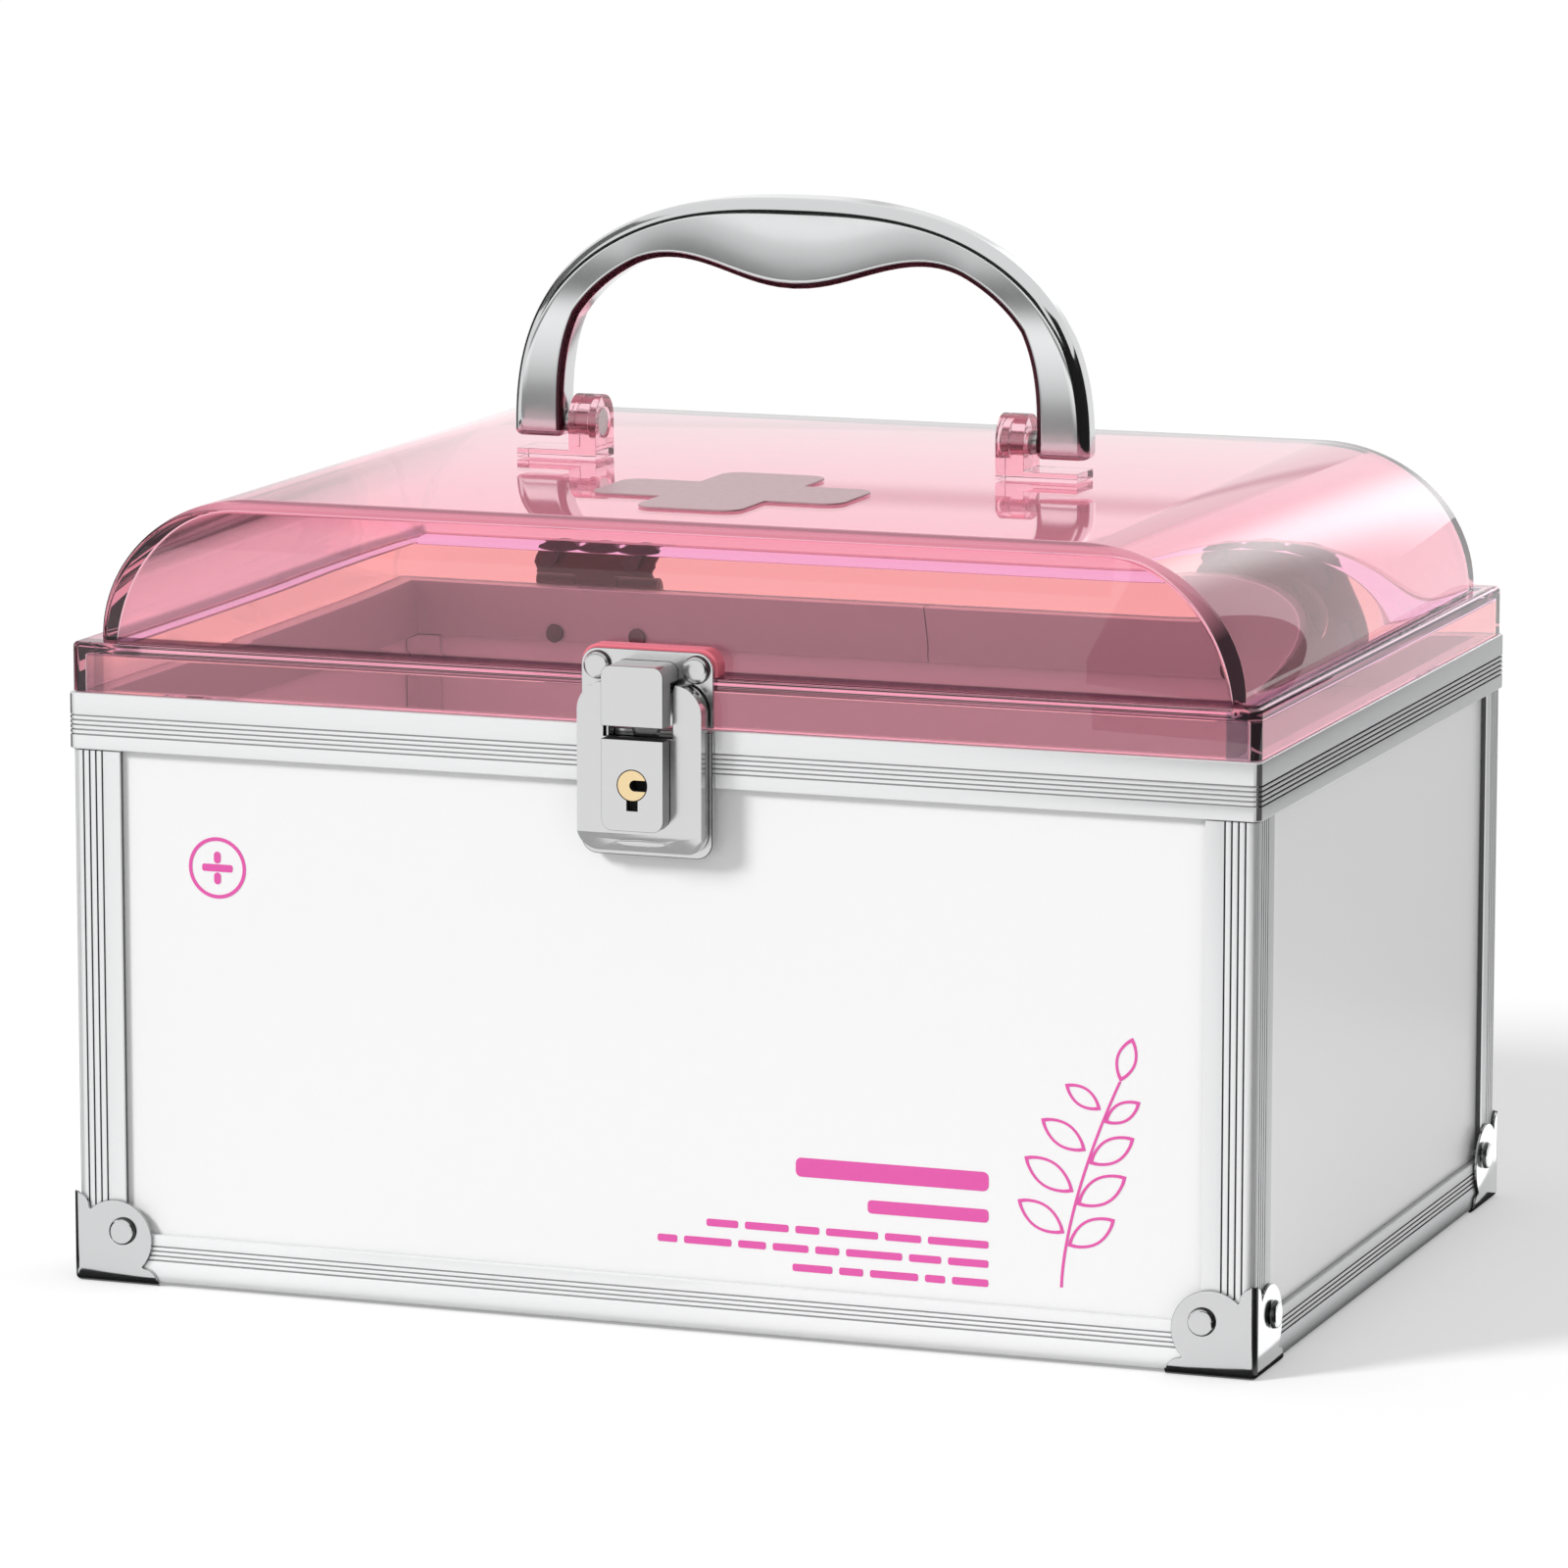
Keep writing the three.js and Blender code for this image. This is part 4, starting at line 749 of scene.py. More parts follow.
# The flange's left and back walls are warmer and its ledge cooler. Painted shade falls on the left wall, at
# the dome's left foot, on the front corners and at both ends of the front face.
# The top plate is a deeper pink, and painted dark lines run along the top's front and back edges and along
# the dome's front foot.
tint_zones(lid_pink, (
    (WARM_TINT, 0.1, {"x": left_wall, "z": under_ledge}),
    (WARM_TINT, 0.1, {"y": back_wall, "z": under_ledge}),
    (PLUM_SHADE, SHADE_SOFT, {"x": left_wall, "y": (-FAR, SHADE_LONG - FLANGE_Y),
        "z": (-FAR, flange_top + SHADE_SOFT)}),
    (COOL_TINT, 0.1, {"y": behind_front, "z": (flange_top - 0.1, LEDGE_TOP + 0.1)}),
    (PLUM_SHADE, 0.6, {"x": (-FAR, LID_WALL + 1 - DOME_X), "y": behind_front,
        "z": (LEDGE_TOP, LEDGE_TOP + DOME_FOOT_RISE)}),
    (SMOKE_SHADE, 0.2, {"either_x": (FLANGE_X - FLANGE_CORNER, FAR), "y": (-FAR, FLANGE_CORNER - FLANGE_Y),
        "z": (-FAR, LEDGE_TOP + 1)}),
    (PLUM_SHADE, 4, {"x": left_wall, "y": (-FAR, DEEP_SHADE_LONG - FLANGE_Y),
        "z": (-FAR, flange_top - DEEP_SHADE_DROP)}),
    (BLOCK_SHADE, 0.2, {"x": right_block, "y": front_face, "z": (-FAR, LEDGE_TOP - 1)}),
    (PLUM_SHADE, 0.3, {"x": left_block, "y": front_face, "z": (-FAR, LEDGE_TOP - 1)}),
    (TOP_TINT, 2, {"z": (dome_top - LID_WALL - TOP_DEEP, FAR)}),
    (LINE_SHADE, 0.2, {"y": (-FAR, FRONT_LINE[0] - DOME_Y), "z": (dome_top - FRONT_LINE[1], FAR)}),
    (SMOKE_SHADE, 0.3, {"y": (DOME_Y - BACK_LINE, FAR), "z": (dome_top - BACK_LINE, FAR)}),
    (FOOT_SHADE, 0.15, {"y": (-FAR, FOOT_LINE[0] - DOME_Y),
        "z": (LEDGE_TOP - 0.2, LEDGE_TOP + FOOT_LINE[1])}),
))
placed("lid_dome", lid_mesh, lid_pink, "lid", ["lid_shell"], crease=28)

# Lug: moulded with the lid from the same styrene, low on the front of its dome. It backs the strike's plate.
# It gets an opaque bright pink in place of the clear styrene: painted light, for the light that shows in the
# lug.
lug_painted_pink = finish_of("lug painted bright pink", (0.86, 0.19, 0.25), 0.25, scale=400, drift=0.05)
placed("lid_lug", lug, lug_painted_pink, "lid", edge=0.5, edge_steps=3)

# Raised cross: a thin plate of dull pink foil-faced plastic, die-cut with rounded arm ends, and
# bonded flat on the lid's top.
CROSS_HALF_X = 32.0
CROSS_HALF_Y = 32.5
CROSS_ARM = 13.25
CROSS_CORNER = 5.0
CROSS_NOOK = 1.0

dull_pink = finish_of("dull pink plate", (0.53, 0.33, 0.36), 0.36, 0.15, scale=500, drift=0.03)
cross_low, cross_high = span("lid_cross")
cross_y = (cross_low.y + cross_high.y) / 2


def cross_outline():
    """A cross with rounded arm ends and small rounds in its inner corners."""
    points = []
    for turn in range(4):
        across = CROSS_HALF_X if turn % 2 == 0 else CROSS_HALF_Y
        start = arc(across - CROSS_CORNER, CROSS_CORNER - CROSS_ARM, CROSS_CORNER, 270, 360, 6)
        end = arc(across - CROSS_CORNER, CROSS_ARM - CROSS_CORNER, CROSS_CORNER, 0, 90, 6)
        nook = arc(CROSS_ARM + CROSS_NOOK, CROSS_ARM + CROSS_NOOK, CROSS_NOOK, 270, 180, 4)
        c, s = ((1, 0), (0, 1), (-1, 0), (0, -1))[turn]
        points += [(a * c - b * s, a * s + b * c) for a, b in start + end + nook]
    return [(a, cross_y + b) for a, b in points]


placed("cross_plate", prism(cross_outline(), "z", cross_low.z, cross_high.z), dull_pink, "lid",
    ["lid_cross"], edge=0.12)

# Corner protectors: chromed steel, pressed from one sheet into three lobed leaves round each
# bottom corner, and held by a domed rivet through each upright leaf.
LEAF_REACH = 22.3
LEAF_WALL = 0.6
LEAF_EDGE = 1.5
NOTCH_FAR = 18.5
NOTCH_NEAR = 4.2
LOBE_MIDDLE = 11.15
LOBE_RADIUS = 9.6
LOBE_TIP = 0.6
BLANK_SPARE = 8.0
FOLD_FROM = 0.22
FOLD_TO = 0.999
LOOKS_DOWN = -0.25

chrome = finish_of("bright chrome", (0.64, 0.645, 0.65), 0.1, 1.0, scale=300, drift=0.02, spread=0.3)
# Painted shade: eased edges, folds, downward faces and rivet rims get this near-black, for the dark outlines
# and shade there.
painted_edge_shade = finish_of("painted edge shade", (0.10, 0.10, 0.102), 0.3, 0.9, scale=300)


def curve_to(start, control, end, steps=6):
    """Points along a bent edge, from start to end, drawn towards a control point."""
    points = []
    for i in range(1, steps + 1):
        t = i / steps
        points.append(tuple((1 - t) ** 2 * p + 2 * t * (1 - t) * q + t * t * r
            for p, q, r in zip(start, control, end)))
    return points


def lobed_leaf():
    opening = math.degrees(math.atan2(NOTCH_NEAR - LOBE_MIDDLE, NOTCH_FAR - LOBE_MIDDLE))
    points = [(0, 0), (LEAF_REACH, 0)]
    points += curve_to((LEAF_REACH, 0), (LEAF_REACH - LOBE_TIP, NOTCH_NEAR), (NOTCH_FAR, NOTCH_NEAR))
    points += arc(LOBE_MIDDLE, LOBE_MIDDLE, LOBE_RADIUS, opening, 90 - opening, 20)
    points += [(NOTCH_NEAR, NOTCH_FAR)]
    points += curve_to((NOTCH_NEAR, NOTCH_FAR), (NOTCH_NEAR, LEAF_REACH - LOBE_TIP), (0, LEAF_REACH))
    return points


def soft_box(low, high, radius, steps=5):
    """A cube with rounded edges, from one corner to the opposite one."""
    form = bmesh.new()
    bmesh.ops.create_cube(form, size=high - low)
    middle = (low + high) / 2
    bmesh.ops.translate(form, verts=form.verts, vec=(middle,) * 3)
    bmesh.ops.bevel(form, geom=form.edges[:], offset=radius, segments=steps, profile=0.5, affect="EDGES")
    mesh = bpy.data.meshes.new("soft box")
    form.to_mesh(mesh)
    form.free()
    return mesh


def protector_mesh():
    far = LEAF_REACH + BLANK_SPARE
    leaves = [prism(lobed_leaf(), axis, -1, LEAF_EDGE) for axis in ("x", "y", "z")]
    every_leaf = carved(leaves[0], ("UNION", leaves[1]), ("UNION", leaves[2]))
    inside = soft_box(LEAF_WALL, far + LEAF_WALL, LEAF_EDGE - LEAF_WALL)
    return carved(soft_box(0, far, LEAF_EDGE), ("DIFFERENCE", inside), ("INTERSECT", every_leaf))


def mirrored(mesh, sx, sy, at):
    """A copy of a mesh, mirrored in x or y and moved to a place."""
    copy = mesh.copy()
    copy.transform(Matrix.Translation(at) @ Matrix.Diagonal((sx, sy, 1, 1)))
    if sx * sy < 0:
        copy.flip_normals()
    return copy


def on_dark_fold(spot, normal, at):
    """True on the upright fold between two leaves, and on the faces that look down. Both get painted shade:
    a dark line on the fold and shade under the leaves.
    """
    near_fold = abs(spot.x - at[0]) < LEAF_EDGE and abs(spot.y - at[1]) < LEAF_EDGE
    return (near_fold and FOLD_FROM < abs(normal.x) < FOLD_TO) or normal.z < LOOKS_DOWN


protector = protector_mesh()
for side, sx in (("left", -1), ("right", 1)):
    for end, sy in (("front", -1), ("back", 1)):
        node = f"corner_protector_{end}_{side}"
        low, high = span(node)
        at = (high.x if sx > 0 else low.x, high.y if sy > 0 else low.y, low.z)
        mesh = mirrored(protector, -sx, -sy, at)
        # Painted shade on the bevels, the upright fold and the faces that look down.
        piece = placed(f"protector_{end}_{side}", mesh, chrome, "box", [node],
            edge=0.14, crease=40, bevel_shade=painted_edge_shade)
        retone(piece, painted_edge_shade, lambda spot, normal: on_dark_fold(spot, normal, at))

# Rivets: turned steel, each with a domed head, a shank and a tail that is spread inside. They hold the
# corners, hinges, latch base and strike, and the edge of each head gets painted shade, a dark ring.
SHANK_RADIUS = 1.5
TAIL_RADIUS = 2.3
TAIL_RISE = 0.9
TAIL_EASE = 0.15
HIGH_HEAD = 1.4
LOW_HEAD = 0.9
CROWN = 0.4
SKIRT_STEEP = 12
SMALL_HEAD = 3.0
RING_SHARE = 0.93
SMALL_RING_SHARE = 0.9
RIVET_SIDES = 32
AXIS_RADIUS = 0.01
FACING = {"front": ("y", -1), "back": ("y", 1), "left": ("x", -1), "right": ("x", 1)}
HEAD_SHAPE = ((0.0, 0.9), (0.3, 0.985), (0.55, 0.95), (0.72, 0.86), (0.84, 0.7), (0.93, 0.46),
    (0.985, 0.2), (1.0, 0.0))


def rivet(node, faces, head_rise, material, body, crown=CROWN):
    """A rivet in its CAD node's own box, with its head towards the face that is named."""
    low, high = span(node)
    axis, sign = FACING[faces]
    index = "xyz".index(axis)
    across = (high.z - low.z) / 2
    centre = (low + high) / 2
    neck = high[index] - low[index] - head_rise
    profile = []
    for share, rise in HEAD_SHAPE:
        skirt = min(1, (1 - share) * SKIRT_STEEP)
        profile.append((share * across, neck + head_rise * ((1 - crown) * skirt + crown * rise)))
    profile += [(across, neck), (SHANK_RADIUS, neck), (SHANK_RADIUS, TAIL_RISE), (TAIL_RADIUS, TAIL_RISE),
        (TAIL_RADIUS, TAIL_EASE), (TAIL_RADIUS - TAIL_EASE, 0), (0, 0)]
    start = low[index] if sign > 0 else high[index]
    rings = []
    for radius, rise in profile:
        ring = []
        for i in range(RIVET_SIDES):
            turn = 2 * math.pi * i / RIVET_SIDES
            spot = list(centre)
            spot[index] = start + sign * rise
            spot[1 - index] += max(radius, AXIS_RADIUS) * math.cos(turn)
            spot[2] += max(radius, AXIS_RADIUS) * math.sin(turn)
            ring.append(spot)
        rings.append(ring)
    piece = placed(f"{node}_turned", loft(rings), material, body, [node], crease=50)
    # Painted shade: a dark ring round the head's edge.
    dark_from = (RING_SHARE if across > SMALL_HEAD else SMALL_RING_SHARE) * across
    retone(piece, painted_edge_shade, lambda spot, normal:
        math.hypot(spot[1 - index] - centre[1 - index], spot.z - centre.z) > dark_from)


for side in ("left", "right"):
    for end in ("front", "back"):
        rivet(f"corner_rivet_{end}_{side}", end, HIGH_HEAD, chrome, "box")
        rivet(f"corner_rivet_{side}_{end}", side, HIGH_HEAD, chrome, "box")

# Hinges: stamped steel leaves with three scallops, curled into knuckles round a pin. The lower
# leaf is riveted through the rim and the upper one through the lid's flange.
LEAF_THICK = 1.2
KNUCKLE_RADIUS = 2.4
KNUCKLE_GAP = 0.4
LEAF_WAIST = 2.2
WAIST_SHARES = (0.28, 0.45)
SCALLOP_DROP = 1.6
LEAF_START = 0.3
LEAF_STAND = 0.3
HINGE_PIN_RADIUS = 1.2
HINGE_BORE_RADIUS = 1.35
CUT_BACK = 9.0

grey_steel = finish_of("nickelled steel", (0.50, 0.49, 0.485), 0.28, 1.0, scale=300, drift=0.08)
dull_steel = finish_of("dull hinge steel", (0.15, 0.115, 0.12), 0.5, 0.3, scale=300, drift=0.1)
hinge_low, hinge_high = span("hinge_pin_left")
PIN_Y = (hinge_low.y + hinge_high.y) / 2
PIN_Z = (hinge_low.z + hinge_high.z) / 2


def scalloped(half, reach, way):
    """A leaf's outline in x and z, from the pin towards its scalloped edge."""
    lobe = half / 3
    low, high = (reach * share for share in WAIST_SHARES)
    points = [(-half, LEAF_START), (half, LEAF_START), (half, KNUCKLE_RADIUS)]
    points += curve_to((half, KNUCKLE_RADIUS), (half - LEAF_WAIST, low), (half, high))
    start = (half, reach - SCALLOP_DROP)
    points.append(start)
    for middle in (2 * lobe, 0, -2 * lobe):
        end = (middle - lobe, reach - SCALLOP_DROP)
        points += curve_to(start, (middle, reach + SCALLOP_DROP), end, 10)
        start = end
    points.append((-half, high))
    points += curve_to((-half, high), (LEAF_WAIST - half, low), (-half, KNUCKLE_RADIUS))
    return [(x, way * z) for x, z in points]


def hinge_leaf(node, way, knuckles, face):
    low, high = span(node)
    middle = (low.x + high.x) / 2
    half = (high.x - low.x) / 2
    reach = high.z - PIN_Z if way > 0 else PIN_Z - low.z
    outline = [(middle + x, PIN_Z + z) for x, z in scalloped(half, reach, way)]
    leaf = prism(outline, "y", face, face + LEAF_THICK)
    third = 2 * half / 3
    spans = ((-half, -third / 2), (-third / 2, third / 2), (third / 2, half))
    steps = []
    for i, (start, end) in enumerate(spans):
        start, end = middle + start, middle + end
        if i in knuckles:
            knuckle = bar("x", start + KNUCKLE_GAP / 2, end - KNUCKLE_GAP / 2, PIN_Y, PIN_Z, KNUCKLE_RADIUS)
            steps.append(("UNION", knuckle))
        else:
            clear = KNUCKLE_RADIUS + KNUCKLE_GAP
            square = [(PIN_Y - CUT_BACK, PIN_Z - clear), (PIN_Y + clear, PIN_Z - clear),
                (PIN_Y + clear, PIN_Z + clear), (PIN_Y - CUT_BACK, PIN_Z + clear)]
            steps.append(("DIFFERENCE", prism(square, "x", start - KNUCKLE_GAP / 2, end + KNUCKLE_GAP / 2)))
    steps.append(("DIFFERENCE", bar("x", low.x - 1, high.x + 1, PIN_Y, PIN_Z, HINGE_BORE_RADIUS)))
    return carved(leaf, *steps)


for side in ("left", "right"):
    for which, way, knuckles, face, body in (
        ("lower", -1, (0, 2), rim_high.y, "box"),
        ("upper", 1, (1,), lid_high.y, "lid"),
    ):
        node = f"hinge_{which}_leaf_{side}"
        leaf = hinge_leaf(node, way, knuckles, face + LEAF_STAND)
        placed(f"{node}_stamped", leaf, dull_steel, body, [node], edge=0.12)
    node = f"hinge_pin_{side}"
    low, high = span(node)
    pin = bar("x", low.x, high.x, PIN_Y, PIN_Z, HINGE_PIN_RADIUS)
    placed(f"{node}_drawn", pin, dull_steel, "box", [node], edge=0.2)
    for end in ("outer", "inner"):
        rivet(f"hinge_rivet_{side}_lower_{end}", "back", LOW_HEAD, dull_steel, "box")
        rivet(f"hinge_rivet_{side}_upper_{end}", "back", LOW_HEAD, dull_steel, "lid")

# Handle brackets: solid pink mouldings bonded on the lid. An ear with a round top carries the
# handle's shoulder pin, and a foot runs out under the handle's end.
EAR_THICK = 7.3
FOOT_THICK = 2.4
PIVOT_Z = 202.2
PIN_HEAD_RADIUS = 3.7
PIN_HEAD_END = 2.6
PIN_HEAD_LONG = 2.2
PIN_HEAD_EASE = 0.4
PIN_SHOULDER_RADIUS = 2.9
SPIGOT_RADIUS = 2.1
SPIGOT_LONG = 8.0
HEAD_BORE_CLEAR = 0.2
HEAD_BORE_DEEP = PIN_HEAD_END + 0.3
SHOULDER_BORE_CLEAR = 0.15
PIN_STEPS = 40


def bracket_mesh():
    low, high = span("handle_bracket_right")
    half = (high.y - low.y) / 2
    middle = (high.y + low.y) / 2
    ear = [(middle - half, low.z), (middle + half, low.z)] + arc(middle, high.z - half, half, 0, 180, 32)
    foot = [(middle - half, low.z), (middle + half, low.z), (middle + half, low.z + FOOT_THICK),
        (middle - half, low.z + FOOT_THICK)]
    head_bore = bar("x", low.x - 1, low.x + HEAD_BORE_DEEP, middle, PIVOT_Z,
        PIN_HEAD_RADIUS + HEAD_BORE_CLEAR, PIN_STEPS)
    shoulder_bore = bar("x", low.x, low.x + EAR_THICK + 1, middle, PIVOT_Z,
        PIN_SHOULDER_RADIUS + SHOULDER_BORE_CLEAR, PIN_STEPS)
    return carved(prism(ear, "x", low.x, low.x + EAR_THICK), ("UNION", prism(foot, "x", low.x + 1, high.x)),
        ("DIFFERENCE", head_bore), ("DIFFERENCE", shoulder_bore))


def turned_pin():
    """The shoulder pin on the right: a head, a shoulder through the ear and a spigot in the handle."""
    low, high = span("handle_pin_right")
    middle = (high.y + low.y) / 2
    head = low.x + PIN_HEAD_LONG
    spigot = high.x - SPIGOT_LONG
    steps = ((AXIS_RADIUS, low.x), (PIN_HEAD_RADIUS - PIN_HEAD_EASE, low.x),
        (PIN_HEAD_RADIUS, low.x + PIN_HEAD_EASE), (PIN_HEAD_RADIUS, head),
        (PIN_SHOULDER_RADIUS, head), (PIN_SHOULDER_RADIUS, spigot),
        (SPIGOT_RADIUS, spigot), (SPIGOT_RADIUS, high.x), (AXIS_RADIUS, high.x))
    rings = []
    for radius, x in steps:
        rings.append([(x, middle + b, PIVOT_Z + a) for a, b in arc(0, 0, radius, 0, 360, PIN_STEPS)[:-1]])
    return loft(rings)


bracket = bracket_mesh()
shoulder_pin = turned_pin()
for side, sx in (("left", -1), ("right", 1)):
    node = f"handle_bracket_{side}"
    mesh = mirrored(bracket, sx, 1, (0, 0, 0))
    placed(f"{node}_moulded", mesh, pink, "lid", [node], edge=0.25, crease=40)
    node = f"handle_pin_{side}"
    mesh = mirrored(shoulder_pin, sx, 1, (0, 0, 0))
    placed(f"{node}_turned", mesh, grey_steel, "handle", [node], crease=40)

# Handle: a die-cast bail with a swelled grip, polished and chromed. Its outer edge is half a
# superellipse, and its section is a rectangle with larger rounds outside than inside.
HANDLE_SPRING = 200.0
HANDLE_POWER = 2.45
END_THICK = 13.3
SHOULDER_THICK = 10.3
GRIP_THICK = 22.1
TAPER_RISE = 35.0
TAPER_POWER = 1.8
GRIP_HALF = 48.0
END_DEPTH = 9.5
GRIP_DEPTH = 15.0
OUTER_ROUND = 3.3
INNER_ROUND = 1.9
FOOT_ROUND = 1.6
BAIL_STEPS = 110
LEAST_ROUND = 0.3
ROUND_STEPS = 8
NEAR_ROUND = 0.04
FOOT_STEPS = 5
BORE_START = 60.0
BORE_END = 70.5
BORE_RADIUS = 2.3
SLOPE_FROM = 0.12
SLOPE_TO = 0.975

handle_low, handle_high = span("handle")
HANDLE_X = handle_high.x
HANDLE_Y = (handle_low.y + handle_high.y) / 2
cast_chrome = finish_of("cast chrome", (0.66, 0.665, 0.67), 0.09, 1.0, scale=120, drift=0.02, spread=0.3)


def signed_power(value, power):
    return math.copysign(abs(value) ** power, value)


def bail_station(turn):
    """The outer edge's point, its outward direction, and the thickness and depth there."""
    rise = handle_high.z - HANDLE_SPRING
    x = HANDLE_X * signed_power(math.cos(turn), 2 / HANDLE_POWER)
    h = rise * abs(math.sin(turn)) ** (2 / HANDLE_POWER)
    normal = Vector((signed_power(x / HANDLE_X, HANDLE_POWER - 1) / HANDLE_X,
        (h / rise) ** (HANDLE_POWER - 1) / rise))
    taper = min(h / TAPER_RISE, 1) ** TAPER_POWER
    swell = (1 + math.cos(math.pi * x / GRIP_HALF)) / 2 if abs(x) < GRIP_HALF else 0
    thick = END_THICK + (SHOULDER_THICK - END_THICK) * taper + (GRIP_THICK - SHOULDER_THICK) * swell
    depth = END_DEPTH + (GRIP_DEPTH - END_DEPTH) * swell
    return Vector((x, HANDLE_SPRING + h)), normal.normalized(), thick, depth


def bail_ring(point, normal, thick, depth, shrink=0.0):
    """The section: a rectangle with large outer and small inner rounds, and points beside each round."""
    half, deep = thick / 2 - shrink, depth / 2 - shrink
    inner, outer = max(INNER_ROUND - shrink, LEAST_ROUND), max(OUTER_ROUND - shrink, LEAST_ROUND)
    section = rounded(-half, half, -deep, deep, [inner, outer, outer, inner], ROUND_STEPS)
    ring = []
    for i, (across, y) in enumerate(section):
        ring.append((across, y))
        if i % (ROUND_STEPS + 1) == ROUND_STEPS:
            far_across, far_y = section[(i + 1) % len(section)]
            for share in (NEAR_ROUND, 1 - NEAR_ROUND):
                ring.append((across + (far_across - across) * share, y + (far_y - y) * share))
    return [(point.x - normal.x * (thick / 2 - a), HANDLE_Y + y, point.y - normal.y * (thick / 2 - a))
        for a, y in ring]


def bail_mesh():
    rings = []
    foot = handle_low.z
    for side in (0, math.pi):
        point, normal, thick, depth = bail_station(side)
        ends = []
        for i in range(FOOT_STEPS + 1):
            turn = math.pi / 2 * i / FOOT_STEPS
            shrink = FOOT_ROUND * (1 - math.sin(turn))
            height = foot + FOOT_ROUND * (1 - math.cos(turn))
            ends.append(bail_ring(Vector((point.x, height)), normal, thick, depth, shrink))
        if side == 0:
            rings += ends
            for i in range(1, BAIL_STEPS):
                share = i / BAIL_STEPS
                rings.append(bail_ring(*bail_station(math.pi * share)))
        else:
            rings += reversed(ends)
    return loft(rings)


def on_underside(spot, normal):
    """True on the slopes that look in towards the lid, above the bail's feet."""
    looks_in = normal.x * spot.x + normal.z * (spot.z - handle_low.z) < 0
    return looks_in and SLOPE_FROM < abs(normal.y) < SLOPE_TO and spot.z > handle_low.z + FOOT_ROUND


bores = []
for start, end in ((BORE_START, BORE_END), (-BORE_END, -BORE_START)):
    bores.append(("DIFFERENCE", bar("x", start, end, HANDLE_Y, PIVOT_Z, BORE_RADIUS, 32)))
bail_piece = placed("bail_handle", carved(bail_mesh(), *bores), cast_chrome, "handle", ["handle"],
    crease=50)
# Painted shade and painted reflection: the slopes under the bail that look in towards the lid get a dark
# pinkish chrome.
underside_painted_shade = finish_of("chrome underside painted shade", (0.075, 0.035, 0.045), 0.25, 1.0, scale=200)
retone(bail_piece, underside_painted_shade, on_underside)

# Latch base: a stamped steel plate, satin chromed and riveted to the rim. Two thin ears carry the
# lever's pin, two pads reach back to the panel, and a keeper waits for the lock's cam.
PLATE_THICK = 1.2
PLATE_BACK = 0.3
PLATE_GAP = 0.3
PLATE_CORNER = 4.0
PIVOT_OUT = 3.6
EAR_RADIUS = 1.6
EAR_INNER = 7.95
EAR_SHEET = 0.85
EAR_FOOT = 8.0
PAD_SIZE = (8.0, 4.0)
PAD_LIFT = 5.2
PAD_GAP = 0.3
PAD_ROOT = 0.5
KEEPER_HALF = 3.5
KEEPER_OUT = 4.4
KEEPER_LOW = 21.6
KEEPER_HIGH = 18.7
KEEPER_SHEET = 1.0
KEEPER_ROOT = 0.8
TONGUE_NOTCH = (3.8, 3.0)
TONGUE_NOTCH_DEEP = 1.5
PIVOT_PIN_RADIUS = 0.8
PIVOT_BORE_RADIUS = 0.95

satin = finish_of("satin chrome", (0.68, 0.68, 0.685), 0.2, 1.0, scale=400, drift=0.03, spread=0.25)
base_low, base_high = span("latch_base_plate")
panel_low = span("front_panel")[0]
pivot_low, pivot_high = span("lever_pivot_pin")
LEVER_PIN_Z = (pivot_low.z + pivot_high.z) / 2
RIM_TOP = rim_high.z


def out(distance):
    """A place in y, given as the distance out from the rim's front face."""
    return rim_low.y - distance


def brick(x0, x1, y0, y1, z0, z1):
    return prism([(x0, y0), (x1, y0), (x1, y1), (x0, y1)], "z", z0, z1)


def tapered(halves, top, foot):
    """A tongue's outline, wide at its top and narrow at its foot."""
    wide, narrow = halves
    return [(-wide, top), (-narrow, foot), (narrow, foot), (wide, top)]


plate_half = base_high.x
plate_face = out(PLATE_BACK + PLATE_THICK)
plate_outline = rounded(-plate_half, plate_half, base_low.z, RIM_TOP - PLATE_GAP,
    [PLATE_CORNER, PLATE_CORNER, 0, 0])
tongue_notch = tapered(TONGUE_NOTCH, RIM_TOP + 1, RIM_TOP - TONGUE_NOTCH_DEEP)
ear_outline = [(plate_face, RIM_TOP - EAR_FOOT), (plate_face, RIM_TOP - PLATE_GAP),
    (out(PIVOT_OUT - EAR_RADIUS), RIM_TOP + PIVOT_OUT)]
ear_outline += arc(out(PIVOT_OUT), LEVER_PIN_Z, EAR_RADIUS, 0, 180, 16)
ear_outline += [(out(PIVOT_OUT + EAR_RADIUS), RIM_TOP - EAR_FOOT / 2)]
pieces = [("DIFFERENCE", prism(tongue_notch, "y", plate_face - 1, out(PLATE_BACK - 1)))]
pad_wide, pad_tall = PAD_SIZE
pad_low = base_low.z + PAD_LIFT
for sx in (-1, 1):
    ear_x = sorted((sx * EAR_INNER, sx * (EAR_INNER + EAR_SHEET)))
    pieces.append(("UNION", prism(ear_outline, "x", *ear_x)))
    pad_x = sx * (plate_half - PLATE_CORNER - pad_wide / 2)
    pieces.append(("UNION", brick(pad_x - pad_wide / 2, pad_x + pad_wide / 2,
        out(PAD_ROOT), panel_low.y - PAD_GAP, pad_low, pad_low + pad_tall)))
keeper_low = RIM_TOP - KEEPER_LOW
pieces.append(("UNION", brick(-KEEPER_HALF, KEEPER_HALF, out(KEEPER_OUT), out(KEEPER_ROOT),
    keeper_low, keeper_low + KEEPER_SHEET)))
pieces.append(("UNION", brick(-KEEPER_HALF, KEEPER_HALF, out(KEEPER_OUT), out(KEEPER_OUT - KEEPER_SHEET),
    keeper_low, RIM_TOP - KEEPER_HIGH)))
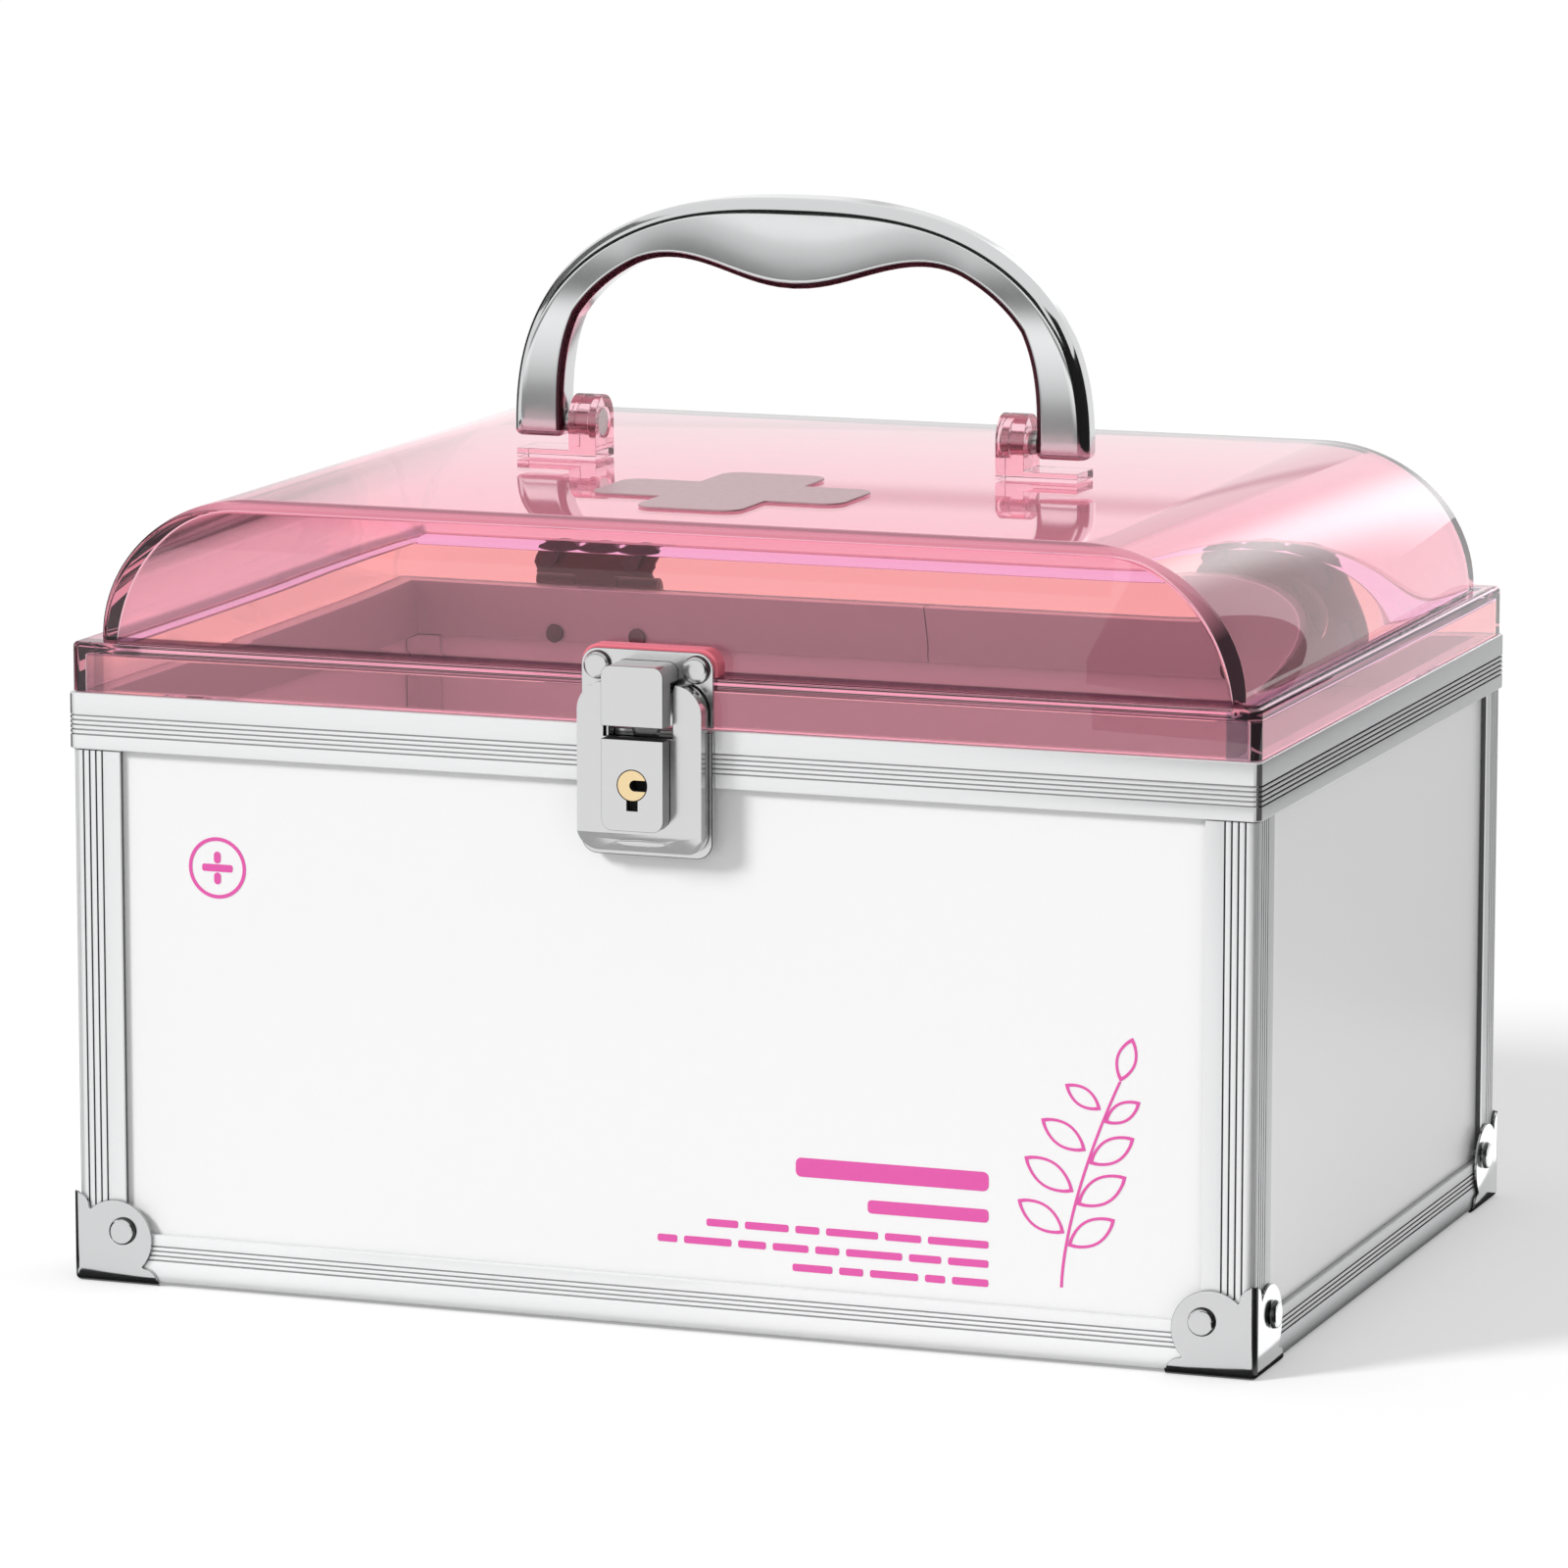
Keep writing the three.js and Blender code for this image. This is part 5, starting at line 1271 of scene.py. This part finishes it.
ear_bore = bar("x", -plate_half, plate_half, out(PIVOT_OUT), LEVER_PIN_Z, PIVOT_BORE_RADIUS)
pieces.append(("DIFFERENCE", ear_bore))
# Painted shade: the plate's eased edges get the near-black edge colour.
placed("latch_base_stamped", carved(prism(plate_outline, "y", plate_face, out(PLATE_BACK)), *pieces),
    satin, "box", ["latch_base_plate"], edge=0.2, bevel_shade=painted_edge_shade)
for side in ("left", "right"):
    rivet(f"latch_base_rivet_{side}", "front", LOW_HEAD, grey_steel, "box")
lever_pin = bar("x", pivot_low.x, pivot_high.x, out(PIVOT_OUT), LEVER_PIN_Z, PIVOT_PIN_RADIUS)
placed("lever_pin_drawn", lever_pin, grey_steel, "box", ["lever_pivot_pin"], edge=0.15)

# Strike: a satin-chromed steel plate, held on the lid's lug by two domed rivets. A square-nosed hood
# is drawn out of it over the claw, open below, and a tapered tongue enters the notch of the base plate.
HOOD_HALF = 7.75
HOOD_REACH = 11.0
HOOD_LOW = 1.6
HOOD_HIGH = 15.9
HOOD_WALL = 1.1
HOOD_CORNER = 2.4
CHEEK_FRONT = 5.9
CHEEK_RISE = 2.5
STRIKE_BACK = -0.3
STRIKE_FRONT = 0.9
STRIKE_GAP = 0.6
LIP_HALF = 3.5
LIP_LOW = 3.1
LIP_THICK = 1.2
LIP_PROUD = 1.0
LIP_ROOT = 0.5
HOOD_ROOT = 0.0
CHEEK_SKIN = 0.9
TONGUE = (3.5, 2.7)
TONGUE_DEEP = 1.2
TONGUE_FRONT = 1.5
TONGUE_BACK = 0.3

strike_high = span("strike_plate")[1]
lip_low = RIM_TOP + LIP_LOW
plate_outline = rounded(-plate_half, plate_half, RIM_TOP + STRIKE_GAP, strike_high.z,
    [0, 0, PLATE_CORNER, PLATE_CORNER])
hood_outline = rounded(-HOOD_HALF, HOOD_HALF, RIM_TOP + HOOD_LOW, RIM_TOP + HOOD_HIGH,
    [0, 0, HOOD_CORNER, HOOD_CORNER])
inner = HOOD_HALF - HOOD_WALL
inner_corner = HOOD_CORNER - HOOD_WALL
hollow = rounded(-inner, inner, RIM_TOP - 1, RIM_TOP + HOOD_HIGH - HOOD_WALL,
    [0, 0, inner_corner, inner_corner])
tongue = tapered(TONGUE, lip_low, RIM_TOP - TONGUE_DEEP)
under_cheeks = brick(-plate_half, plate_half, out(CHEEK_FRONT), out(STRIKE_FRONT), RIM_TOP - 1,
    LEVER_PIN_Z + CHEEK_RISE)
hood = carved(prism(hood_outline, "y", out(HOOD_REACH), out(HOOD_ROOT)),
    ("DIFFERENCE", prism(hollow, "y", out(HOOD_REACH - HOOD_WALL), out(STRIKE_BACK - 1))),
    ("DIFFERENCE", under_cheeks))
lip = brick(-LIP_HALF, LIP_HALF, out(STRIKE_FRONT + LIP_PROUD), out(LIP_ROOT), lip_low, lip_low + LIP_THICK)
strike = carved(prism(plate_outline, "y", out(STRIKE_FRONT), out(STRIKE_BACK)), ("UNION", hood),
    ("UNION", lip), ("UNION", prism(tongue, "y", out(TONGUE_FRONT), out(TONGUE_BACK))))


def on_hood_side(spot, normal):
    beside = abs(spot.x) > HOOD_HALF - CHEEK_SKIN and abs(normal.x) > 0.5
    return beside and spot.y < out(STRIKE_FRONT)


def on_tongue(spot, normal):
    low_enough = RIM_TOP - TONGUE_DEEP - 0.1 < spot.z < lip_low
    return low_enough and abs(spot.x) < LIP_HALF + 0.1 and spot.y > out(STRIKE_FRONT + LIP_PROUD + 0.1)


# Painted shade: the hood's side walls get a darker, duller chrome, and the strike's eased edges the
# near-black edge colour.
hood_side_shade = finish_of("hood sides painted shade", (0.50, 0.50, 0.505), 0.42, 0.5, scale=200)
# Painted light: the tongue under the hood gets a bright white, though it lies in the hood's shade.
tongue_painted_light = finish_of("tongue painted light", (0.93, 0.93, 0.93), 0.5, scale=400)
strike_piece = placed("strike_drawn", strike, satin, "lid", ["strike_plate"], edge=0.16,
    bevel_shade=painted_edge_shade)
retone(strike_piece, hood_side_shade, on_hood_side)
retone(strike_piece, tongue_painted_light, on_tongue)
for side in ("left", "right"):
    rivet(f"strike_rivet_{side}", "front", HIGH_HEAD, satin, "lid", crown=0.6)

# Lever: a pressed steel cover, satin chromed. It is slotted for the hood, rolled over at the
# pivot, bevelled at the foot, and dished there for a finger.
LEVER_FACE = 6.4
LEVER_BACK = 1.9
LEVER_WALL = 0.9
LEVER_CORNER = 7.0
LEVER_FOOT_CORNER = 4.5
BEVEL_HEIGHT = 4.6
BEVEL_DEPTH = 2.4
ROLL_RADIUS = 2.2
SLOT_HALF = 9.0
SLOT_LOW = 1.7
BORE_REACH = 20.0
DISH_RADII = (7.2, 1.5, 1.4)
DISH_OUT = 0.75
DISH_DROP = 0.3
PLUG_RADIUS = 3.6
PLUG_DROP = 12.3
PLUG_HOLE_CLEAR = 0.3

lever_low, lever_high = span("latch_lever")
PLUG_Z = RIM_TOP - PLUG_DROP


def lever_form(inset):
    """The lever's outer form, or with an inset the hollow behind its wall."""
    across = lever_high.x - inset
    top, foot = lever_high.z - inset, lever_low.z + inset
    high_corner, low_corner = LEVER_CORNER - inset, LEVER_FOOT_CORNER - inset
    front = rounded(-across, across, foot, top, [low_corner, low_corner, high_corner, high_corner], 12)
    face, back = LEVER_FACE - inset, LEVER_BACK - (1 if inset else 0)
    start = math.degrees(math.acos((PIVOT_OUT - LEVER_BACK) / ROLL_RADIUS))
    roll = ROLL_RADIUS - inset
    side = [(out(back), foot)]
    side += [(min(y, out(back)), z) for y, z in arc(out(PIVOT_OUT), LEVER_PIN_Z, roll, start, 90)]
    side += [(out(face), top), (out(face), foot + BEVEL_HEIGHT), (out(face - BEVEL_DEPTH), foot)]
    return carved(prism(front, "y", out(LEVER_FACE + 1), out(LEVER_BACK - 2)),
        ("INTERSECT", prism(side, "x", -across - 1, across + 1)))


def finger_dish():
    form = bmesh.new()
    bmesh.ops.create_uvsphere(form, u_segments=48, v_segments=24, radius=1)
    middle = (0, out(LEVER_FACE - BEVEL_DEPTH / 2 + DISH_OUT), lever_low.z + BEVEL_HEIGHT / 2 - DISH_DROP)
    form.transform(Matrix.Translation(middle) @ Matrix.Diagonal((*DISH_RADII, 1)))
    mesh = bpy.data.meshes.new("dish")
    form.to_mesh(mesh)
    form.free()
    return mesh


hood_slot = brick(-SLOT_HALF, SLOT_HALF, out(LEVER_FACE + 1), out(LEVER_BACK - 1), RIM_TOP - SLOT_LOW,
    lever_high.z + 1)
plug_hole = bar("y", out(LEVER_FACE + 1), out(LEVER_BACK), 0, PLUG_Z, PLUG_RADIUS + PLUG_HOLE_CLEAR, 40)
pivot_bore = bar("x", -BORE_REACH, BORE_REACH, out(PIVOT_OUT), LEVER_PIN_Z, PIVOT_BORE_RADIUS)
lever = carved(lever_form(0), ("DIFFERENCE", lever_form(LEVER_WALL)), ("DIFFERENCE", hood_slot),
    ("DIFFERENCE", finger_dish()), ("DIFFERENCE", plug_hole), ("DIFFERENCE", pivot_bore))
# Painted shade: the lever's eased edges get the near-black edge colour.
placed("lever_pressed", lever, satin, "latch_lever", ["latch_lever"], edge=0.2,
    bevel_shade=painted_edge_shade)

# Lock: a die-cast housing on the lever's face, a brass plug with an open key slot, and a steel cam
# behind it. A square notch below the plug lets the key's bit in.
HOUSING_FOOT = 2.8
BORE_CLEAR = 0.15
NOTCH_HALF = 1.35
NOTCH_RISE = 2.4
NOTCH_DEEP = 2.4
KEY_HALF = 1.3
KEY_DEPTH = 4.0
KEY_SLOT_REACH = 9.0
PLUG_BACK = 3.4
STEM_RADIUS = 1.7
STEM_FRONT = 4.0
PLUG_STEPS = 64
FACE_SKIN = 0.2

brass = finish_of("polished brass", (0.92, 0.72, 0.42), 0.3, 0.9, scale=300, drift=0.06)
# Painted shade: the housing's side faces get a dark, dull chrome, and the housing's and plug's eased edges
# the near-black edge colour.
housing_side_shade = finish_of("housing sides painted shade", (0.24, 0.24, 0.242), 0.32, 0.9, scale=400)
keyway = finish_of("keyway shadow", (0.012, 0.012, 0.012), 0.7)
housing_low, housing_high = span("lock_housing")
housing_outline = rounded(housing_low.x, housing_high.x, housing_low.z, housing_high.z,
    [HOUSING_FOOT, HOUSING_FOOT, 0, 0], 12)
plug_bore = bar("y", housing_low.y - 1, housing_high.y + 1, 0, PLUG_Z, PLUG_RADIUS + BORE_CLEAR, PLUG_STEPS)
notch_low = PLUG_Z - PLUG_RADIUS - NOTCH_RISE
key_notch = brick(-NOTCH_HALF, NOTCH_HALF, housing_low.y - 1, housing_low.y + NOTCH_DEEP, notch_low, PLUG_Z)
housing = carved(prism(housing_outline, "y", housing_low.y, housing_high.y),
    ("DIFFERENCE", plug_bore), ("DIFFERENCE", key_notch))
plug_low, plug_high = span("lock_plug")
key_end = plug_low.y + KEY_DEPTH
key_slot = brick(KEY_HALF / 2, KEY_SLOT_REACH, plug_low.y - 1, key_end, PLUG_Z - KEY_HALF, PLUG_Z + KEY_HALF)
plug = carved(bar("y", plug_low.y, out(PLUG_BACK), 0, PLUG_Z, PLUG_RADIUS, PLUG_STEPS),
    ("UNION", bar("y", out(STEM_FRONT), plug_high.y, 0, PLUG_Z, STEM_RADIUS, 32)), ("DIFFERENCE", key_slot),
    ("DIFFERENCE", bar("y", plug_low.y - 1, key_end, KEY_HALF / 2, PLUG_Z, KEY_HALF, 32)))


def on_housing_side(spot, normal):
    beside = abs(spot.x) > PLUG_RADIUS + 0.5
    return beside and abs(normal.y) < 0.5 and normal.z < 0.5


def in_key_slot(spot, normal):
    behind_face = plug_low.y + FACE_SKIN < spot.y < key_end + 0.1
    return behind_face and math.hypot(spot.x, spot.z - PLUG_Z) < PLUG_RADIUS - 0.3


def in_key_notch(spot, normal):
    behind_face = housing_low.y + FACE_SKIN < spot.y < housing_low.y + NOTCH_DEEP + 0.1
    return behind_face and spot.z > notch_low - 0.1 and abs(spot.x) < NOTCH_HALF + 0.1


housing_piece = placed("housing_cast", housing, satin, "latch_lever", ["lock_housing"],
    edge=0.16, bevel_shade=painted_edge_shade)
plug_piece = placed("plug_turned", plug, brass, "lock_key", ["lock_plug"], edge=0.15,
    bevel_shade=painted_edge_shade)
retone(housing_piece, housing_side_shade, on_housing_side)
retone(housing_piece, keyway, in_key_notch)
retone(plug_piece, keyway, in_key_slot)
for node in ("lock_cam", "draw_claw"):
    hidden = frame["nodes"][node]
    hidden.data.materials.clear()
    hidden.data.materials.append(grey_steel)

# Studio: a white paper floor that keeps the shadow, a pale surround and a low soft sun from the left
# in front. Cards beside and behind the box are seen only by bright surfaces: black ones draw dark
# outlines on edges, and a lit one lays a streak on the lid's shoulder.
FLOOR_GLOW = 0.34
PAPER_TONE = 0.725
SURROUND = 0.55
THROUGH_LID = 0.75
SUN_STRENGTH = 0.72
SUN_TOWARDS = (-0.60, -0.60, 0.53)
SUN_SOFTNESS = 14
CARD_REACH = 0.3
FOOT_REACH = 0.13
CARD_LIFT = 0.001
BOX_X = 0.152
BOX_Y = 0.108
PAPER_HALF = 9
RING_CARD_REACH = 0.30
RING_CARD_FOOT = 0.13
RING_CARD_TALL = 0.17


def seen_part(nodes, path):
    """One for what is seen straight, mirrored or through clear plastic, and zero for stray light."""
    part = path.outputs["Is Camera Ray"]
    for name, how in (
        ("Is Glossy Ray", "MAXIMUM"),
        ("Is Transmission Ray", "MAXIMUM"),
        ("Diffuse Depth", "SUBTRACT"),
    ):
        step = add_node(nodes, "Math", {0: part, 1: path.outputs[name]}, operation=how, use_clamp=True)
        part = step.outputs[0]
    return part


def stage_piece(name, points, material):
    mesh = bpy.data.meshes.new(name)
    mesh.from_pydata(points, [], [(0, 1, 2, 3)])
    mesh.materials.append(material)
    piece = bpy.data.objects.new(name, mesh)
    bpy.context.scene.collection.objects.link(piece)
    piece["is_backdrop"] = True
    return piece


def card(name, points, material):
    """A card that only bright surfaces mirror."""
    piece = stage_piece(name, points, material)
    piece.visible_camera = False
    piece.visible_diffuse = False
    piece.visible_transmission = False
    piece.visible_shadow = False


def toward(corner, degrees, reach):
    """A spot on the floor, at an angle round from straight in front."""
    turn = math.radians(degrees)
    return Vector((corner[0] + reach * math.sin(turn), corner[1] - reach * math.cos(turn), CARD_LIFT))


def card_finish(name, tone):
    material, nodes = new_material(name)
    wire(nodes["Principled BSDF"], {"Base Color": (tone, tone, tone, 1), "Roughness": 1})
    return material


def laid(spots, lift):
    """Corners of a card that lies on the floor, lifted a little."""
    return [(x, y, lift) for x, y in spots]


paper, nodes = new_material("white paper")
sheet = nodes["Principled BSDF"]
wire(sheet, {"Base Color": (PAPER_TONE, PAPER_TONE, PAPER_TONE, 1), "Roughness": 1,
    "Specular IOR Level": 0})
seen = seen_part(nodes, add_node(nodes, "LightPath", {}))
lift = add_node(nodes, "Math", {0: seen, 1: FLOOR_GLOW}, operation="MULTIPLY")
glow = add_node(nodes, "Emission", {"Strength": lift.outputs[0]})
both = add_node(nodes, "AddShader", {0: sheet.outputs["BSDF"], 1: glow.outputs["Emission"]})
wire(nodes["Material Output"], {"Surface": both.outputs["Shader"]})
floor_corners = [(x * PAPER_HALF, y * PAPER_HALF, 0) for x, y in ((-1, -1), (1, -1), (1, 1), (-1, 1))]
stage_piece("studio_floor", floor_corners, paper)

black = card_finish("black card", 0.01)
grey = card_finish("grey card", 0.30)
pale = card_finish("pale card", 0.48)
for name, sx, start, end, height in (
    ("right", 1, 36, 98, 0.5),
    ("left", -1, -96, -54, 0.14),
    ("far_left", -1, -150, -112, 0.34),
):
    corner = (sx * BOX_X, -BOX_Y)
    near = [toward(corner, t, 0.004) for t in (start, end)]
    far = [toward(corner, t, CARD_REACH) for t in (start, end)]
    rise = Vector((0, 0, height))
    card(f"card_{name}", [far[0], far[1], far[1] + rise, far[0] + rise], black)
    card(f"card_{name}_foot", [near[0], near[1], far[1], far[0]], black)
# Painted shade: black cards on the floor round the front corners and under the box, seen only in mirrors,
# stand in for the contact shade there.
for name, sx, start, end in (("right", 1, 8, 80), ("right_back", 1, 80, 148), ("left", -1, -150, -78)):
    corner = (sx * BOX_X, -BOX_Y)
    spots = [toward(corner, start, 0.002), toward(corner, end, 0.002),
        toward(corner, end, FOOT_REACH), toward(corner, start, FOOT_REACH)]
    card(f"card_{name}_corner", spots, black)
under_box = ((-BOX_X, -BOX_Y), (BOX_X, -BOX_Y), (BOX_X, BOX_Y), (-BOX_X, BOX_Y))
card("card_under", laid(under_box, 0.0006), black)
card("card_aside", laid(((0.12, -0.60), (0.50, -0.50), (0.75, -1.3), (0.20, -1.3)), 0.0008), black)
card("card_before", laid(((-0.10, -0.20), (0.0, -0.20), (0.0, -0.13), (-0.10, -0.13)), 0.0008), pale)
card("card_shoulder", [(-0.40, -0.25, 0.30), (-0.40, 0.12, 0.30),
    (-0.40, 0.12, 0.60), (-0.40, -0.25, 0.60)], grey)
for name, turns in (("before", (12, 50)), ("beside", (50, 90)), ("behind", (90, 128))):
    foot = []
    for turn in map(math.radians, turns):
        x, y = RING_CARD_REACH * math.sin(turn), -RING_CARD_REACH * math.cos(turn)
        foot.append(Vector((x, y, RING_CARD_FOOT)))
    rise = Vector((0, 0, RING_CARD_TALL))
    card(f"card_ring_{name}", [foot[0], foot[1], foot[1] + rise, foot[0] + rise], black)
# Painted light: a glowing card on the floor to the right, seen only in mirrors, brightens the protectors'
# side leaves.
lit, nodes = new_material("bright card")
wire(nodes["Principled BSDF"],
    {"Base Color": (0, 0, 0, 1), "Emission Color": (1, 1, 1, 1), "Emission Strength": 1.35})
card("card_bright", laid(((0.156, -0.09), (0.34, -0.02), (0.34, 0.34), (0.156, 0.30)), 0.0012), lit)

# The handle's own card: a graded and striped one in front, just above the lid. Each of its tones
# is a height and how bright the card is there.
GRIP_CARD_LOW = 0.178
GRIP_CARD_HIGH = 0.330
GRIP_CARD_START = -0.25
GRIP_CARD_END = 0.10
GRIP_CARD_Y = -0.14
GRIP_CARD_TONES = (
    (0.1902, 0.36), (0.1929, 0.5), (0.1955, 0.75), (0.2009, 1.03), (0.2062, 1.17), (0.2116, 1.32),
    (0.2148, 1.14), (0.2174, 0.65), (0.2195, 0.24), (0.2235, 0.27), (0.2265, 0.45), (0.2290, 0.75),
    (0.2339, 0.92), (0.2360, 1.05), (0.2440, 1.05), (0.2455, 0.02), (0.29, 0.02), (0.30, 1.0),
)
STRIPE_SCALE = 142
STRIPE_WANDER = 2.5
STRIPE_WANDER_SCALE = 60
STRIPE_FROM = 0.72
STRIPE_FULL = 0.85
STRIPE_GAIN = 0.55
STRIPES_MIDDLE = 0.2385
STRIPES_HALF = 0.0042

striped, nodes = new_material("graded card")
nodes.remove(nodes["Principled BSDF"])
spot = add_node(nodes, "TexCoord", {}).outputs["Object"]
height = add_node(nodes, "SeparateXYZ", {"Vector": spot}).outputs["Z"]
level = GRIP_CARD_TONES[0][1]
for (low, low_tone), (high, high_tone) in zip(GRIP_CARD_TONES, GRIP_CARD_TONES[1:]):
    step = add_node(nodes, "MapRange",
        {"Value": height, "From Min": low, "From Max": high, "To Max": high_tone - low_tone})
    level = add_node(nodes, "Math", {0: level, 1: step.outputs["Result"]}).outputs[0]
wave = add_node(nodes, "TexWave", {"Scale": STRIPE_SCALE, "Distortion": STRIPE_WANDER, "Detail": 1,
    "Detail Scale": STRIPE_WANDER_SCALE, "Vector": spot}, bands_direction="Z")
peak = add_node(nodes, "MapRange",
    {"Value": wave.outputs["Fac"], "From Min": STRIPE_FROM, "From Max": STRIPE_FULL, "To Max": STRIPE_GAIN})
band = add_node(nodes, "Math", {0: height, 1: STRIPES_MIDDLE, 2: STRIPES_HALF}, operation="COMPARE")
stripe = add_node(nodes, "Math", {0: peak.outputs["Result"], 1: band.outputs[0], 2: level},
    operation="MULTIPLY_ADD")
shine = add_node(nodes, "Emission", {"Strength": stripe.outputs[0]})
wire(nodes["Material Output"], {"Surface": shine.outputs["Emission"]})
card("card_grip", [(GRIP_CARD_START, GRIP_CARD_Y, GRIP_CARD_LOW),
    (GRIP_CARD_END, GRIP_CARD_Y, GRIP_CARD_LOW),
    (GRIP_CARD_END, GRIP_CARD_Y, GRIP_CARD_HIGH), (GRIP_CARD_START, GRIP_CARD_Y, GRIP_CARD_HIGH)], striped)


FAR_CARD_REACH = 5.0
SHOULDER_SPOT = (0.12, 0.0)
SHOULDER_HEIGHT = 0.19


def soft_card(name, middle, scale, centre_strength, edge_strength):
    """A glowing card that fades from its middle to its edges, across it or up it."""
    material, nodes = new_material(name)
    nodes.remove(nodes["Principled BSDF"])
    spot = add_node(nodes, "TexCoord", {})
    centre = add_node(nodes, "Mapping",
        {"Location": middle, "Scale": scale, "Vector": spot.outputs["Generated"]})
    fall = add_node(nodes, "TexGradient", {"Vector": centre.outputs["Vector"]}, gradient_type="SPHERICAL")
    fade = add_node(nodes, "MapRange",
        {"Value": fall.outputs["Fac"], "To Min": edge_strength, "To Max": centre_strength},
        interpolation_type="SMOOTHSTEP")
    shine = add_node(nodes, "Emission", {"Strength": fade.outputs["Result"]})
    wire(nodes["Material Output"], {"Surface": shine.outputs["Emission"]})
    return material


def far_card(name, turns, rises, material):
    """An upright card behind the box, between two angles round and two angles up."""
    feet = [toward(SHOULDER_SPOT, turn, FAR_CARD_REACH) for turn in turns]
    slopes = [math.tan(math.radians(rise)) for rise in rises]
    low, high = (Vector((0, 0, SHOULDER_HEIGHT + FAR_CARD_REACH * slope)) for slope in slopes)
    card(name, [feet[0] + low, feet[1] + low, feet[1] + high, feet[0] + high], material)


lit_card = soft_card("lit card", (-1, -1, 0), (2, 2, 0), 2.5, 1.0)
dark_card = soft_card("dark card", (0, 0, -1), (0, 0, 2), 0.6, 1.0)
far_card("card_streak", (161, 191), (6, 30), lit_card)
far_card("card_band", (190, 202), (8.6, 13), dark_card)

world = bpy.data.worlds.new("studio surround")
bpy.context.scene.world = world
world.use_nodes = True
nodes = world.node_tree.nodes
path = add_node(nodes, "LightPath", {})
level = add_node(nodes, "MapRange", {"Value": seen_part(nodes, path), "To Min": SURROUND, "To Max": 1})
stray = add_node(nodes, "Math", {0: path.outputs["Is Transmission Ray"], 1: path.outputs["Diffuse Depth"]},
    operation="MULTIPLY", use_clamp=True)
total = add_node(nodes, "Math", {0: stray.outputs[0], 1: THROUGH_LID, 2: level.outputs["Result"]},
    operation="MULTIPLY_ADD")
wire(nodes["Background"], {"Color": (1, 1, 1, 1), "Strength": total.outputs[0]})

sun = bpy.data.lights.new("sun", "SUN")
sun.energy = SUN_STRENGTH * math.pi
sun.angle = math.radians(SUN_SOFTNESS)
stand = bpy.data.objects.new("sun", sun)
bpy.context.scene.collection.objects.link(stand)
stand.rotation_euler = Vector(SUN_TOWARDS).to_track_quat("Z", "Y").to_euler()
stand.visible_glossy = False
stand.visible_transmission = False

CAMERA_LENS = 190.59
CAMERA_PLACE = (0.6928, -1.8951, 0.4624)
CAMERA_TURN = (80.23, 0, 20.18)
camera = bpy.data.cameras.new("camera")
camera.lens = CAMERA_LENS
camera.sensor_width = 36
view = bpy.data.objects.new("camera", camera)
bpy.context.scene.collection.objects.link(view)
view.location = CAMERA_PLACE
view.rotation_euler = [math.radians(turn) for turn in CAMERA_TURN]
bpy.context.scene.camera = view
bpy.context.scene.view_settings.view_transform = "Standard"

low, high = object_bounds()
